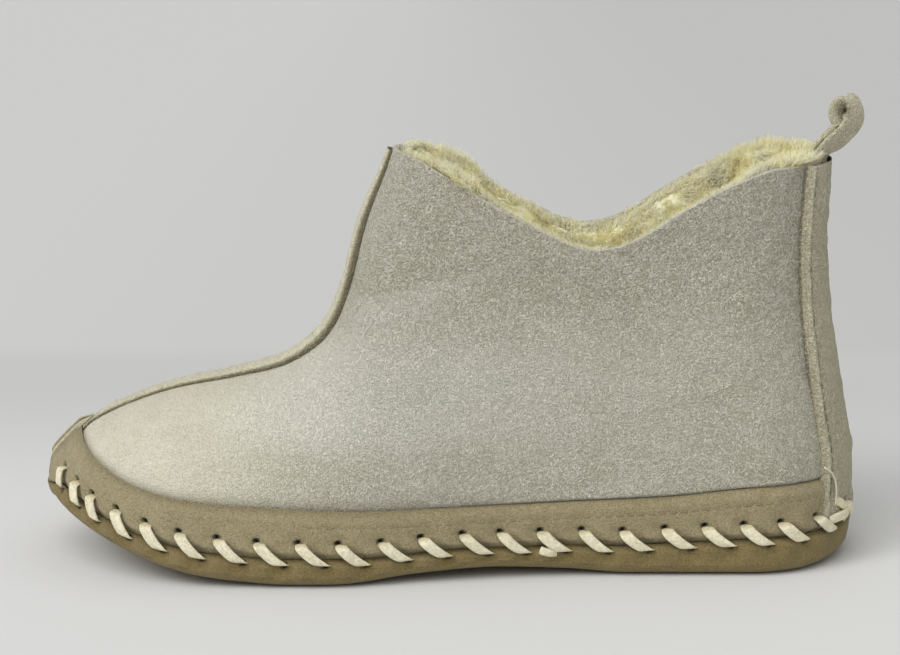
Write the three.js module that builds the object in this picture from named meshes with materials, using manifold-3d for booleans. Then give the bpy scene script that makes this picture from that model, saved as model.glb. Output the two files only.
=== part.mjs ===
import * as THREE from 'three';
import { mergeVertices } from 'three/addons/utils/BufferGeometryUtils.js';
import Module from 'manifold-3d';

const wasm = await Module();
wasm.setup();

// A left moccasin bootie: soft sole, lined ankle-high upper, whip-laced rand.
// Millimetres, +Z up, toe towards -X, heel towards +X, outer side of the foot towards -Y.

// Driving sizes of the upper
const LENGTH = 260; // toe tip to the fullest point of the heel
const BALL_WIDTH = 92; // across the ball of the foot
const HEEL_WIDTH = 68; // across the heel seat
const COLLAR_WIDTH = 61; // across the shaft at the collar
const TOE_HEIGHT = 32; // top of the upright face of the toe tip
const INSTEP_HEIGHT = 73; // where the vamp turns up into the throat
const PEAK_HEIGHT = 133; // front point of the collar
const DIP_HEIGHT = 104; // lowest point of the collar, at the ankle
const HEEL_HEIGHT = 129.5; // back of the collar
const WALL = 2.2; // suede hide

// Sole and insole
const SOLE_THICKNESS = 3;
const SOLE_SKIN = 2; // thickness of the turned-up wall
const SOLE_CORNER = 1.2; // rounding where the wall turns up
const FLAT_INSET = 2; // from the upper's face inwards to the edge of the flat
const EDGE_ROUND = 0.7; // rounding of the upper edges of sole and insole
const SEAM_HEIGHT = 14.5; // whip seam above the ground at the heel, where it is highest
const TOE_SPRING = 15; // lift of the ground side at the toe tip
const ARCH_LIFT = 3;
const HEEL_LIFT = 1.5; // rounding under the very back
const INSOLE_THICKNESS = 4;
const GAP = 0.3; // between neighbouring pieces

// Rand, strips and pull loop, cut from the same form
const RAND_THICKNESS = 2;
const RAND_HEIGHT = 30; // top edge of the rand above the floor, at the heel
const CREASE = 2.3; // groove between sole wall and rand that the lace runs in
const RIDGE_WIDTH = 4; // sewn ridge over the tip of the toe
const RIDGE_THICKNESS = 1.4;
const CENTRE_WIDTH = 9;
const CENTRE_THICKNESS = 1.8;
const HEEL_STRIP_THICKNESS = 2;
const HEEL_STRIP_LOW = 52; // half width of the heel strip in degrees round the heel, at the seam
const HEEL_STRIP_HIGH = 43; // and at the collar
const LOOP_LENGTH = 29; // base to tip along the folded strap
const LOOP_WIDTH = 14;
const LOOP_THICKNESS = 4.6; // both layers at the base

// Fleece collar
const FLEECE_DEPTH = 8; // from the wall towards the ankle
const FLEECE_DROP = 13; // below the collar edge
const FLEECE_RISE_FRONT = 5; // above the collar edge, in front of the ankle
const FLEECE_RISE_BACK = 1.7; // above the collar edge, beside and behind the ankle
const LOCK_COUNT = 66;

// Whip lace
const LACE_WIDTH = 3.4;
const LACE_THICKNESS = 1.3;
const LACE_PITCH = 12.8; // from hole to hole along the seam
const LACE_RUN = 8.4; // how far a bar slants along the seam
const LACE_RISE = 6.8; // from its lower to its upper end

// Where the form changes, as shares of the length from the toe
const INSTEP_AT = 0.33;
const PEAK_AT = 0.425;
const TOE_ROUND = 0.2; // length of the rounded toe
const HEEL_ROUND = 0.13; // length of the rounded heel
const LEAN_FROM = 0.55; // where the back line starts to move the sections
const ARCH_POWER = 2.5; // fullness of a cross section, 2 is an ellipse
const BLEND_LOW = 0.16; // share of the peak height where the shaft starts to narrow
const BLEND_HIGH = 0.8; // and where it is as narrow as the collar

// Height of the vamp's middle line: share of the length, share of toe to instep height
const VAMP = [
  { at: 0, rise: 0 },
  { at: 0.006, rise: 0.07 },
  { at: 0.02, rise: 0.155 },
  { at: 0.05, rise: 0.28 },
  { at: 0.1, rise: 0.435 },
  { at: 0.16, rise: 0.57 },
  { at: 0.22, rise: 0.66 },
  { at: 0.28, rise: 0.79 },
  { at: INSTEP_AT, rise: 1 },
];

// Throat, instep to peak: share of the way back, share of the rise
const THROAT = [
  { at: 0, rise: 0 },
  { at: 0.17, rise: 0.11 },
  { at: 0.36, rise: 0.3 },
  { at: 0.57, rise: 0.55 },
  { at: 0.8, rise: 0.81 },
  { at: 1, rise: 1 },
];

// Collar edge, peak to heel: share of the way back; front and back shares of the rise over the dip
const COLLAR = [
  { at: 0, front: 1, back: 0 },
  { at: 0.05, front: 0.93, back: 0 },
  { at: 0.1, front: 0.8, back: 0 },
  { at: 0.17, front: 0.59, back: 0 },
  { at: 0.26, front: 0.345, back: 0 },
  { at: 0.33, front: 0.17, back: 0 },
  { at: 0.395, front: 0.04, back: 0 },
  { at: 0.44, front: 0, back: 0 },
  { at: 0.49, front: 0, back: 0.03 },
  { at: 0.56, front: 0, back: 0.17 },
  { at: 0.63, front: 0, back: 0.4 },
  { at: 0.7, front: 0, back: 0.61 },
  { at: 0.78, front: 0, back: 0.82 },
  { at: 0.88, front: 0, back: 0.98 },
  { at: 1, front: 0, back: 1 },
];

// Back line: share of the heel height, how far it stands in as a share of the length
const BACK_LINE = [
  { up: 0, inset: 0.004 },
  { up: 0.08, inset: 0 },
  { up: 0.26, inset: 0.001 },
  { up: 0.4, inset: 0.014 },
  { up: 0.52, inset: 0.025 },
  { up: 0.66, inset: 0.036 },
  { up: 0.83, inset: 0.042 },
  { up: 1, inset: 0.039 },
];

// Footprint half widths: share of the length, outer and inner side as shares of the ball width,
// and heel as the share taken from the heel width instead
const FOOTPRINT = [
  { at: 0, outer: 0.43, inner: 0.46, heel: 0 },
  { at: 0.12, outer: 0.47, inner: 0.49, heel: 0 },
  { at: 0.24, outer: 0.5, inner: 0.5, heel: 0 },
  { at: 0.34, outer: 0.505, inner: 0.49, heel: 0 },
  { at: 0.46, outer: 0.47, inner: 0.44, heel: 0.2 },
  { at: 0.58, outer: 0.42, inner: 0.4, heel: 0.5 },
  { at: 0.72, outer: 0.37, inner: 0.37, heel: 1 },
  { at: 0.87, outer: 0.36, inner: 0.36, heel: 1 },
  { at: 1, outer: 0.36, inner: 0.36, heel: 1 },
];

// Ground side of the sole: share of the length, share of the toe spring, arch and heel lifts
const GROUND = [
  { at: 0, toe: 1, arch: 0, heel: 0 },
  { at: 0.04, toe: 0.7, arch: 0, heel: 0 },
  { at: 0.09, toe: 0.42, arch: 0, heel: 0 },
  { at: 0.15, toe: 0.17, arch: 0, heel: 0 },
  { at: 0.2, toe: 0.05, arch: 0, heel: 0 },
  { at: 0.25, toe: 0, arch: 0, heel: 0 },
  { at: 0.37, toe: 0, arch: 0, heel: 0 },
  { at: 0.46, toe: 0, arch: 0.7, heel: 0 },
  { at: 0.54, toe: 0, arch: 1, heel: 0 },
  { at: 0.64, toe: 0, arch: 0.55, heel: 0 },
  { at: 0.72, toe: 0, arch: 0, heel: 0 },
  { at: 0.93, toe: 0, arch: 0, heel: 0 },
  { at: 1, toe: 0, arch: 0, heel: 1 },
];

// Whip seam and top edge of the rand: share of the length, seam as a share of its height at the heel,
// edge as a share of the rand's height at the heel
const RAND_LINES = [
  { at: 0, seam: 0.9, edge: 1.4 },
  { at: 0.033, seam: 0.92, edge: 1.34 },
  { at: 0.064, seam: 0.91, edge: 1.18 },
  { at: 0.12, seam: 0.9, edge: 0.99 },
  { at: 0.18, seam: 0.86, edge: 0.9 },
  { at: 0.25, seam: 0.8, edge: 0.85 },
  { at: 0.33, seam: 0.76, edge: 0.825 },
  { at: 0.46, seam: 0.65, edge: 0.805 },
  { at: 0.56, seam: 0.63, edge: 0.81 },
  { at: 0.66, seam: 0.74, edge: 0.83 },
  { at: 0.76, seam: 0.85, edge: 0.87 },
  { at: 0.88, seam: 0.95, edge: 0.97 },
  { at: 1, seam: 1, edge: 1 },
];

// Value of a table's column between its rows, on a smooth curve that never overshoots.
function along(rows, key, column, place) {
  const last = rows.length - 1;
  const at = THREE.MathUtils.clamp(place, rows[0][key], rows[last][key]);
  let i = 0;
  while (i < last - 1 && rows[i + 1][key] < at) i += 1;
  const slope = (k) => (rows[k + 1][column] - rows[k][column]) / (rows[k + 1][key] - rows[k][key]);
  const tangent = (k) => {
    if (k === 0) return slope(0);
    if (k === last) return slope(last - 1);
    const before = slope(k - 1);
    const after = slope(k);
    return before * after > 0 ? (2 * before * after) / (before + after) : 0;
  };
  const step = rows[i + 1][key] - rows[i][key];
  const t = (at - rows[i][key]) / step;
  const t2 = t * t;
  const t3 = t2 * t;
  return rows[i][column] * (2 * t3 - 3 * t2 + 1) + tangent(i) * step * (t3 - 2 * t2 + t)
    + rows[i + 1][column] * (3 * t2 - 2 * t3) + tangent(i + 1) * step * (t3 - t2);
}

// Height of the ground side of the sole at a share of the length.
function groundHeight(u) {
  return along(GROUND, 'at', 'toe', u) * TOE_SPRING + along(GROUND, 'at', 'arch', u) * ARCH_LIFT
    + along(GROUND, 'at', 'heel', u) * HEEL_LIFT;
}

// Height of the middle line over vamp and throat, carried on past the peak at the throat's slope.
function crownHeight(u) {
  if (u <= INSTEP_AT) return TOE_HEIGHT + along(VAMP, 'at', 'rise', u) * (INSTEP_HEIGHT - TOE_HEIGHT);
  const rise = PEAK_HEIGHT - INSTEP_HEIGHT;
  const way = (u - INSTEP_AT) / (PEAK_AT - INSTEP_AT);
  if (way <= 1) return INSTEP_HEIGHT + along(THROAT, 'at', 'rise', way) * rise;
  return PEAK_HEIGHT + (way - 1) * rise;
}

// Height of the collar edge at a share of the length.
function collarHeight(u) {
  const way = (u - PEAK_AT) / (1 - PEAK_AT);
  return DIP_HEIGHT + along(COLLAR, 'at', 'front', way) * (PEAK_HEIGHT - DIP_HEIGHT)
    + along(COLLAR, 'at', 'back', way) * (HEEL_HEIGHT - DIP_HEIGHT);
}

// Height of the whip seam.
function seamHeight(u) {
  return groundHeight(u) + along(RAND_LINES, 'at', 'seam', u) * SEAM_HEIGHT;
}

// Height of the rand's top edge.
function randHeight(u) {
  return along(RAND_LINES, 'at', 'edge', u) * RAND_HEIGHT;
}

// How far the back line pulls a point forward.
function lean(u, z) {
  const share = THREE.MathUtils.smoothstep(u, LEAN_FROM, 1);
  return share * along(BACK_LINE, 'up', 'inset', z / HEEL_HEIGHT) * LENGTH;
}

// Share of the length of a point that the back line has moved.
function shareOf(x, z) {
  let u = x / LENGTH;
  for (let turn = 0; turn < 4; turn += 1) u = (x + lean(u, z)) / LENGTH;
  return u;
}

// Square of the half width of the upper's outer face, negative outside it.
// side is -1 on the outer side of the foot and 1 on the inner side.
function halfWidthSquared(u, z, side) {
  const column = side < 0 ? 'outer' : 'inner';
  const heelShare = along(FOOTPRINT, 'at', 'heel', u);
  const ball = along(FOOTPRINT, 'at', column, u) * BALL_WIDTH;
  const foot = THREE.MathUtils.lerp(ball, HEEL_WIDTH / 2, heelShare);
  const up = THREE.MathUtils.smoothstep(z, BLEND_LOW * PEAK_HEIGHT, BLEND_HIGH * PEAK_HEIGHT);
  const shaft = Math.min(COLLAR_WIDTH / 2, foot);
  const width = THREE.MathUtils.lerp(foot, shaft, up * THREE.MathUtils.smoothstep(u, 0.15, INSTEP_AT));
  const ground = groundHeight(u);
  const level = Math.max(z - ground, 0) / (crownHeight(u) - ground);
  const arch = 1 - level ** ARCH_POWER;
  const toe = u < TOE_ROUND ? 1 - (1 - u / TOE_ROUND) ** 2 : 1;
  const heel = u > 1 - HEEL_ROUND ? 1 - ((u - 1 + HEEL_ROUND) / HEEL_ROUND) ** 2 : 1;
  return width * width * arch * toe * heel;
}

// Point on the upper's outer face, moved outwards by offset along the face's normal.
function formPoint(u, z, side, offset = 0) {
  const x = u * LENGTH - lean(u, z);
  const half = Math.sqrt(Math.max(halfWidthSquared(u, z, side), 0));
  if (half < 0.001) return new THREE.Vector3(x, 0, z).addScaledVector(formNormal(x, 0, z, -1), offset);
  return new THREE.Vector3(x, side * half, z).addScaledVector(formNormal(x, side * half, z, side), offset);
}

// Outward normal of the form at a point on it.
function formNormal(x, y, z, side) {
  const step = 0.05;
  const across = (px, pz) => halfWidthSquared(shareOf(px, pz), pz, side);
  const dx = (across(x + step, z) - across(x - step, z)) / (2 * step);
  const dz = (across(x, z + step) - across(x, z - step)) / (2 * step);
  return new THREE.Vector3(-dx, 2 * y, -dz).normalize();
}

// Solid of a closed geometry that holds positions only.
function solidOf(geometry) {
  const vertProperties = new Float32Array(geometry.attributes.position.array);
  return new wasm.Manifold(new wasm.Mesh({
    numProp: 3,
    vertProperties,
    triVerts: new Uint32Array(geometry.index.array),
  }));
}

// Geometry of a solid.
function geometryOf(solid) {
  const mesh = solid.getMesh();
  const geometry = new THREE.BufferGeometry();
  geometry.setAttribute('position', new THREE.Float32BufferAttribute(mesh.vertProperties, 3));
  geometry.setIndex(Array.from(mesh.triVerts));
  return geometry;
}

// Collects points and faces of one closed body.
class Body {
  constructor() {
    this.points = [];
    this.faces = [];
  }

  add(point) {
    this.points.push(point);
    return this.points.length - 1;
  }

  quad(a, b, c, d) {
    this.faces.push([a, b, c], [a, c, d]);
  }

  geometry() {
    const flat = [];
    for (const face of this.faces) {
      for (const corner of face) flat.push(...this.points[corner].toArray());
    }
    const raw = new THREE.BufferGeometry();
    raw.setAttribute('position', new THREE.Float32BufferAttribute(flat, 3));
    const merged = mergeVertices(raw, 1e-4);
    const order = merged.index.array;
    const kept = [];
    for (let i = 0; i < order.length; i += 3) {
      const [a, b, c] = [order[i], order[i + 1], order[i + 2]];
      if (a !== b && b !== c && a !== c) kept.push(a, b, c);
    }
    merged.setIndex(kept);
    return merged;
  }

  // The body as a solid that can be joined and cut.
  solid() {
    return solidOf(this.geometry());
  }
}

// A body skinned over rings of equal length: open ends are capped, or the last ring joins the first.
function skinRings(rings, endless) {
  const body = new Body();
  const table = rings.map((ring) => ring.map((point) => body.add(point)));
  const across = table[0].length;
  const joins = endless ? table.length : table.length - 1;
  for (let i = 0; i < joins; i += 1) {
    const here = table[i];
    const next = table[(i + 1) % table.length];
    for (let j = 0; j < across; j += 1) {
      const k = (j + 1) % across;
      body.quad(here[j], here[k], next[k], next[j]);
    }
  }
  if (!endless) {
    const first = table[0];
    const last = table[table.length - 1];
    for (let j = 1; j < across - 1; j += 1) {
      body.faces.push([first[0], first[j + 1], first[j]], [last[0], last[j], last[j + 1]]);
    }
  }
  return body;
}

// Solid of a body whose faces may all point inwards.
function outwards(body) {
  const solid = body.solid();
  if (solid.volume() > 0) return solid;
  body.faces.forEach((face) => face.reverse());
  return body.solid();
}

// Stations along the foot, shared by all pieces so that neighbours have the same facets.
// They stand closer together where the form turns: toe, throat, collar front and heel.
const TOE_STEPS = 8;
const RIDGE_STEP = 3; // the toe station where the rand's edge crosses the middle line
const VAMP_STEPS = 4;
const THROAT_STEPS = 6;
const FRONT_STEPS = 6;
const SIDE_STEPS = 6;
const HEEL_STEPS = 6;
const FRONT_END = 0.55; // where the collar's rounded front has become its side
const PEAK_STATION = TOE_STEPS + VAMP_STEPS + THROAT_STEPS; // from here on the shell is open
const UPPER_ROWS = 9;

function toeShare(way) {
  return TOE_ROUND * (1 - Math.cos((way * Math.PI) / 2));
}

function makeStations() {
  const stretch = (steps, share) => Array.from({ length: steps }, (_, i) => share((i + 1) / steps));
  const { lerp } = THREE.MathUtils;
  return [
    0,
    ...stretch(TOE_STEPS, toeShare),
    ...stretch(VAMP_STEPS, (way) => lerp(TOE_ROUND, INSTEP_AT, way)),
    ...stretch(THROAT_STEPS, (way) => lerp(INSTEP_AT, PEAK_AT, way)),
    ...stretch(FRONT_STEPS, (way) => lerp(PEAK_AT, FRONT_END, way * way)),
    ...stretch(SIDE_STEPS, (way) => lerp(FRONT_END, 1 - HEEL_ROUND, way)),
    ...stretch(HEEL_STEPS, (way) => 1 - HEEL_ROUND + HEEL_ROUND * Math.sin((way * Math.PI) / 2)),
  ];
}

const RIDGE_AT = toeShare(RIDGE_STEP / TOE_STEPS);
const STATIONS = makeStations();
const STATION_COUNT = STATIONS.length - 1;

// Height of the upper's lower edge, on the foot side of the sole.
function footHeight(u) {
  return groundHeight(u) + SOLE_THICKNESS + GAP;
}

// Height of the upper's upper edge: its middle line up to the peak, then the collar.
function topHeight(u) {
  return u > PEAK_AT ? collarHeight(u) : crownHeight(u);
}

// Heights of the upper's rows in a section, spread evenly round its arch.
function rowHeights(u, low) {
  const ground = groundHeight(u);
  const crown = crownHeight(u);
  const angle = (z) => Math.asin(Math.min(((z - ground) / (crown - ground)) ** (ARCH_POWER / 2), 1));
  const heights = [];
  for (let j = 0; j <= UPPER_ROWS; j += 1) {
    const turn = THREE.MathUtils.lerp(angle(footHeight(u)), angle(topHeight(u)), j / UPPER_ROWS);
    heights.push(ground + (crown - ground) * Math.sin(turn) ** (2 / ARCH_POWER));
  }
  const near = 0.7;
  const clipped = heights.map((z) => (z < low + near ? low : z));
  clipped[0] = low;
  clipped[UPPER_ROWS] = topHeight(u);
  return clipped;
}

// A shell that follows the form between two offsets, closed over the middle line up to the peak,
// open at the collar and underneath, and running right round the foot.
function makeShell(inner, outer, low) {
  const body = new Body();
  const top = UPPER_ROWS;
  const column = (u, side, offset) => rowHeights(u, low(u)).map((z) => body.add(formPoint(u, z, side, offset)));
  for (const side of [-1, 1]) {
    const outside = STATIONS.map((u) => column(u, side, outer));
    const inside = STATIONS.map((u) => column(u, side, inner));
    const put = (a, b, c, d) => (side < 0 ? body.quad(a, b, c, d) : body.quad(d, c, b, a));
    for (let i = 0; i < STATION_COUNT; i += 1) {
      for (let j = 0; j < top; j += 1) {
        put(outside[i][j], outside[i + 1][j], outside[i + 1][j + 1], outside[i][j + 1]);
        put(inside[i][j], inside[i][j + 1], inside[i + 1][j + 1], inside[i + 1][j]);
      }
      put(inside[i][0], inside[i + 1][0], outside[i + 1][0], outside[i][0]);
      if (i >= PEAK_STATION) {
        put(outside[i][top], outside[i + 1][top], inside[i + 1][top], inside[i][top]);
      }
    }
  }
  return body;
}

// Upper: one hollow wall, open at the collar and underneath.
function makeUpper() {
  return makeShell(-WALL, 0, footHeight).geometry();
}

// Point beside the form at a height over the ground, moved outwards level with the ground.
function levelPoint(u, up, side, offset) {
  const height = groundHeight(u) + Math.max(up, SOLE_THICKNESS);
  const point = formPoint(u, height, side);
  const normal = formNormal(point.x, point.y, height, side).setZ(0).normalize();
  point.addScaledVector(normal, offset);
  if (side * point.y < 0) point.y = 0;
  return point.setZ(groundHeight(u) + up);
}

// Plates under the foot: for each section, rows of offset from the form and height over the ground,
// the first on the ground side and the last on the foot side.
function makePlate(rows) {
  const body = new Body();
  const table = {};
  for (const side of [-1, 1]) {
    table[side] = STATIONS.map((u) => rows(u).map((row) => body.add(levelPoint(u, row.up, side, row.offset))));
  }
  const last = rows(0).length - 1;
  for (let i = 0; i < STATION_COUNT; i += 1) {
    for (const side of [-1, 1]) {
      const put = (a, b, c, d) => (side < 0 ? body.quad(a, b, c, d) : body.quad(d, c, b, a));
      const here = table[side][i];
      const next = table[side][i + 1];
      for (let j = 0; j < last; j += 1) put(here[j], next[j], next[j + 1], here[j + 1]);
    }
    const outer = table[-1];
    const inner = table[1];
    body.quad(outer[i][last], outer[i + 1][last], inner[i + 1][last], inner[i][last]);
    body.quad(inner[i][0], inner[i + 1][0], outer[i + 1][0], outer[i][0]);
  }
  return body.geometry();
}

// Sole: a thin plate whose edge turns up round the upper as a low wall.
function makeSole() {
  const face = GAP + SOLE_SKIN;
  return makePlate((u) => {
    const wall = seamHeight(u) - groundHeight(u) - CREASE / 2;
    return [
      { offset: -FLAT_INSET, up: 0 },
      { offset: face - SOLE_CORNER, up: SOLE_CORNER * 0.6 },
      { offset: face - SOLE_CORNER / 6, up: SOLE_CORNER * 1.8 },
      { offset: face, up: wall * 0.5 },
      { offset: face - EDGE_ROUND / 8, up: wall - EDGE_ROUND },
      { offset: face - EDGE_ROUND, up: wall },
      { offset: GAP, up: wall },
      { offset: GAP, up: SOLE_THICKNESS },
    ];
  });
}

// Insole: a soft footbed inside the wall of the upper.
function makeInsole() {
  const edge = -(WALL + GAP);
  const low = SOLE_THICKNESS + GAP;
  return makePlate(() => [
    { offset: edge - EDGE_ROUND, up: low },
    { offset: edge, up: low + EDGE_ROUND },
    { offset: edge - EDGE_ROUND / 8, up: low + INSOLE_THICKNESS - EDGE_ROUND },
    { offset: edge - EDGE_ROUND, up: low + INSOLE_THICKNESS },
  ]);
}

// Round the heel: share of the length at an angle from the back, in degrees.
function heelShare(angle) {
  return 1 - HEEL_ROUND + HEEL_ROUND * Math.cos(THREE.MathUtils.degToRad(angle));
}

// Point of the side view, as x and z, on the form's section at a share of the length.
function sidePoint(u, z) {
  return [u * LENGTH - lean(u, z), z];
}

// Height over the crease on which rand and heel strip stand.
function overCrease(u) {
  return seamHeight(u) + CREASE / 2;
}

// Front edge of the heel strip from the ground up, moved back by a distance.
function heelStripEdge(back) {
  const rows = 8;
  return Array.from({ length: rows + 1 }, (_, row) => {
    const z = (row / rows) * HEEL_HEIGHT * 1.1;
    const angle = THREE.MathUtils.lerp(HEEL_STRIP_LOW, HEEL_STRIP_HIGH, z / HEEL_HEIGHT);
    const [x] = sidePoint(heelShare(angle), z);
    return [x + back, z];
  });
}

// Solid that reaches right across the foot over an outline in the side view.
function acrossFoot(outline) {
  const prism = new wasm.CrossSection([outline], 'NonZero').extrude(2 * LENGTH);
  return prism.translate([0, 0, -LENGTH]).rotate([90, 0, 0]);
}

// Second skin over the upper, parallel to its facets, above the crease.
function makeSecondSkin(thickness) {
  return makeShell(GAP, GAP + thickness, overCrease).solid();
}

// Heel strip: broad suede strip round the back, from the crease to the collar.
function makeHeelStrip() {
  const behind = [...heelStripEdge(0).reverse(), [2 * LENGTH, 0], [2 * LENGTH, LENGTH]];
  return geometryOf(makeSecondSkin(HEEL_STRIP_THICKNESS).intersect(acrossFoot(behind)));
}

// Rand: band round the lower edge of the upper, over the toe tip and up to the heel strip.
function makeRand() {
  const ridgeEnd = RIDGE_AT * LENGTH;
  const edge = STATIONS.filter((u, i) => u >= RIDGE_AT && (u < TOE_ROUND || i % 3 === 0 || u === 1))
    .map((u) => sidePoint(u, randHeight(u)));
  const under = [[-LENGTH, 0], [2 * LENGTH, 0], [2 * LENGTH, edge[edge.length - 1][1]], ...edge.reverse()];
  const band = makeSecondSkin(RAND_THICKNESS).intersect(acrossFoot([...under, [ridgeEnd, LENGTH], [-LENGTH, LENGTH]]));
  const behind = [...heelStripEdge(-2 * GAP).reverse(), [2 * LENGTH, 0], [2 * LENGTH, LENGTH]];
  return geometryOf(band.subtract(acrossFoot(behind)));
}

// Point on the form beside its middle line, a distance across it, moved outwards by offset.
function besideCrown(u, across, offset) {
  const side = across < 0 ? -1 : 1;
  const top = new THREE.Vector3(u * LENGTH, 0, crownHeight(u));
  const inward = formNormal(top.x, 0, top.z, side).negate();
  let near = 0;
  let far = Math.abs(across);
  for (let turn = 0; turn < 24; turn += 1) {
    const middle = (near + far) / 2;
    const x = top.x + inward.x * middle;
    const z = top.z + inward.z * middle;
    if (halfWidthSquared(shareOf(x, z), z, side) < across * across) near = middle;
    else far = middle;
  }
  const point = top.addScaledVector(inward, far);
  const normal = formNormal(point.x, across, point.z, side);
  if (across !== 0) normal.y = Math.abs(normal.y) * side;
  return point.setY(across).addScaledVector(normal, offset);
}

// Strip along the middle line between two shares of the length, narrower at its front end.
function makeCrownStrip({ from, to, inner, outer, width, frontWidth }) {
  const rings = [];
  for (const u of [from, ...STATIONS.filter((share) => share > from && share < to), to]) {
    const half = THREE.MathUtils.lerp(frontWidth, width, Math.min((4 * (u - from)) / (to - from), 1)) / 2;
    const across = [-half, 0, half];
    rings.push([
      ...across.map((y) => besideCrown(u, y, outer)).reverse(),
      ...across.map((y) => besideCrown(u, y, inner)),
    ]);
  }
  return skinRings(rings, false).geometry();
}

// Centre strip: narrow strip over the front seam, from the rand to the collar's peak.
function makeCentreStrip() {
  return makeCrownStrip({
    from: RIDGE_AT + (RAND_THICKNESS + 2 * GAP) / LENGTH,
    to: PEAK_AT,
    inner: GAP,
    outer: GAP + CENTRE_THICKNESS,
    width: CENTRE_WIDTH,
    frontWidth: CENTRE_WIDTH * 0.6,
  });
}

// Toe ridge: the rand's sewn ridge over the tip of the toe.
function makeToeRidge() {
  const seat = GAP + RAND_THICKNESS + GAP;
  return makeCrownStrip({
    from: RIDGE_AT * 0.3,
    to: RIDGE_AT,
    inner: seat,
    outer: seat + RIDGE_THICKNESS,
    width: RIDGE_WIDTH,
    frontWidth: RIDGE_WIDTH,
  });
}

// Pull loop from its base to its tip: shares of the loop's length backwards and upwards from the
// middle of the collar's back edge, and half thickness as a share of its thickness at the base.
const LOOP = [
  { back: -0.01, up: 0, half: 0.62 },
  { back: 0.11, up: 0.16, half: 0.54 },
  { back: 0.23, up: 0.27, half: 0.48 },
  { back: 0.31, up: 0.37, half: 0.47 },
  { back: 0.345, up: 0.48, half: 0.52 },
  { back: 0.335, up: 0.6, half: 0.58 },
  { back: 0.31, up: 0.72, half: 0.58 },
];

// Pull loop: strap folded on itself, with a small eye at its tip.
function makePullLoop() {
  const seat = HEEL_HEIGHT + GAP;
  const middle = LENGTH - lean(1, HEEL_HEIGHT) + (GAP + HEEL_STRIP_THICKNESS - WALL) / 2;
  const centre = LOOP.map((row) => new THREE.Vector2(middle + row.back * LOOP_LENGTH, seat + row.up * LOOP_LENGTH));
  const curve = new THREE.SplineCurve(centre);
  const steps = 10;
  const left = [];
  const right = [];
  const halfAt = (way) => {
    const place = way * (LOOP.length - 1);
    const i = Math.min(Math.floor(place), LOOP.length - 2);
    return THREE.MathUtils.lerp(LOOP[i].half, LOOP[i + 1].half, place - i) * LOOP_THICKNESS;
  };
  const across = (way) => {
    const tangent = curve.getTangent(way);
    return new THREE.Vector2(-tangent.y, tangent.x);
  };
  for (let i = 0; i <= steps; i += 1) {
    const way = i / steps;
    const point = curve.getPoint(way);
    const normal = across(way);
    if (i === 0) normal.set(-1, 0);
    left.push(point.clone().addScaledVector(normal, halfAt(way)));
    right.push(point.clone().addScaledVector(normal, -halfAt(way)));
  }
  const tip = curve.getPoint(1);
  const sideways = across(1);
  const onwards = curve.getTangent(1);
  const cap = [];
  for (let i = 1; i < 6; i += 1) {
    const turn = (i * Math.PI) / 6;
    cap.push(tip.clone()
      .addScaledVector(sideways, Math.cos(turn) * halfAt(1))
      .addScaledVector(onwards, Math.sin(turn) * halfAt(1)));
  }
  const outline = new THREE.Shape([...left, ...cap, ...right.reverse()]);
  const eye = [];
  for (let i = 0; i < 8; i += 1) {
    const turn = (-i * Math.PI) / 4;
    eye.push(curve.getPoint(0.86)
      .addScaledVector(sideways, Math.cos(turn) * LOOP_THICKNESS * 0.24)
      .addScaledVector(onwards, Math.sin(turn) * LOOP_THICKNESS * 0.6));
  }
  outline.holes.push(new THREE.Path(eye));
  const strap = new THREE.ExtrudeGeometry(outline, { depth: LOOP_WIDTH, bevelEnabled: false });
  strap.rotateX(Math.PI / 2);
  strap.translate(0, LOOP_WIDTH / 2, 0);
  strap.deleteAttribute('normal');
  strap.deleteAttribute('uv');
  return mergeVertices(strap, 1e-4);
}

// Repeatable random numbers from 0 to 1.
function randomSource(seed) {
  let state = seed;
  return () => {
    state = (state * 1664525 + 1013904223) % 4294967296;
    return state / 4294967296;
  };
}

// Section of the fleece: offset from the form as a share of the fleece's depth behind the wall,
// and height over the collar edge as a share of its rise (above) or drop (below).
const FLEECE_SECTION = [
  { deep: 0.06, over: -1 },
  { deep: 0.06, over: -0.5 },
  { deep: 0.04, over: -0.04 },
  { deep: 0.06, over: 0.5 },
  { deep: 0.35, over: 1 },
  { deep: 0.75, over: 0.9 },
  { deep: 1.05, over: 0.1 },
  { deep: 1, over: -1 },
];

// Point of the fleece beside the collar edge.
function fleecePoint(u, side, deep, over) {
  const offset = -(WALL + GAP + deep * FLEECE_DEPTH);
  if (over <= 0) return formPoint(u, collarHeight(u) + over * FLEECE_DROP, side, offset);
  const front = THREE.MathUtils.lerp(FLEECE_RISE_FRONT, FLEECE_RISE_BACK, THREE.MathUtils.smoothstep(u, 0.48, 0.62));
  const rise = front * (1 - 0.9 * THREE.MathUtils.smoothstep(u, 0.93, 0.985));
  const point = formPoint(u, collarHeight(u), side, offset);
  return point.setZ(point.z + over * rise);
}

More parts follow.
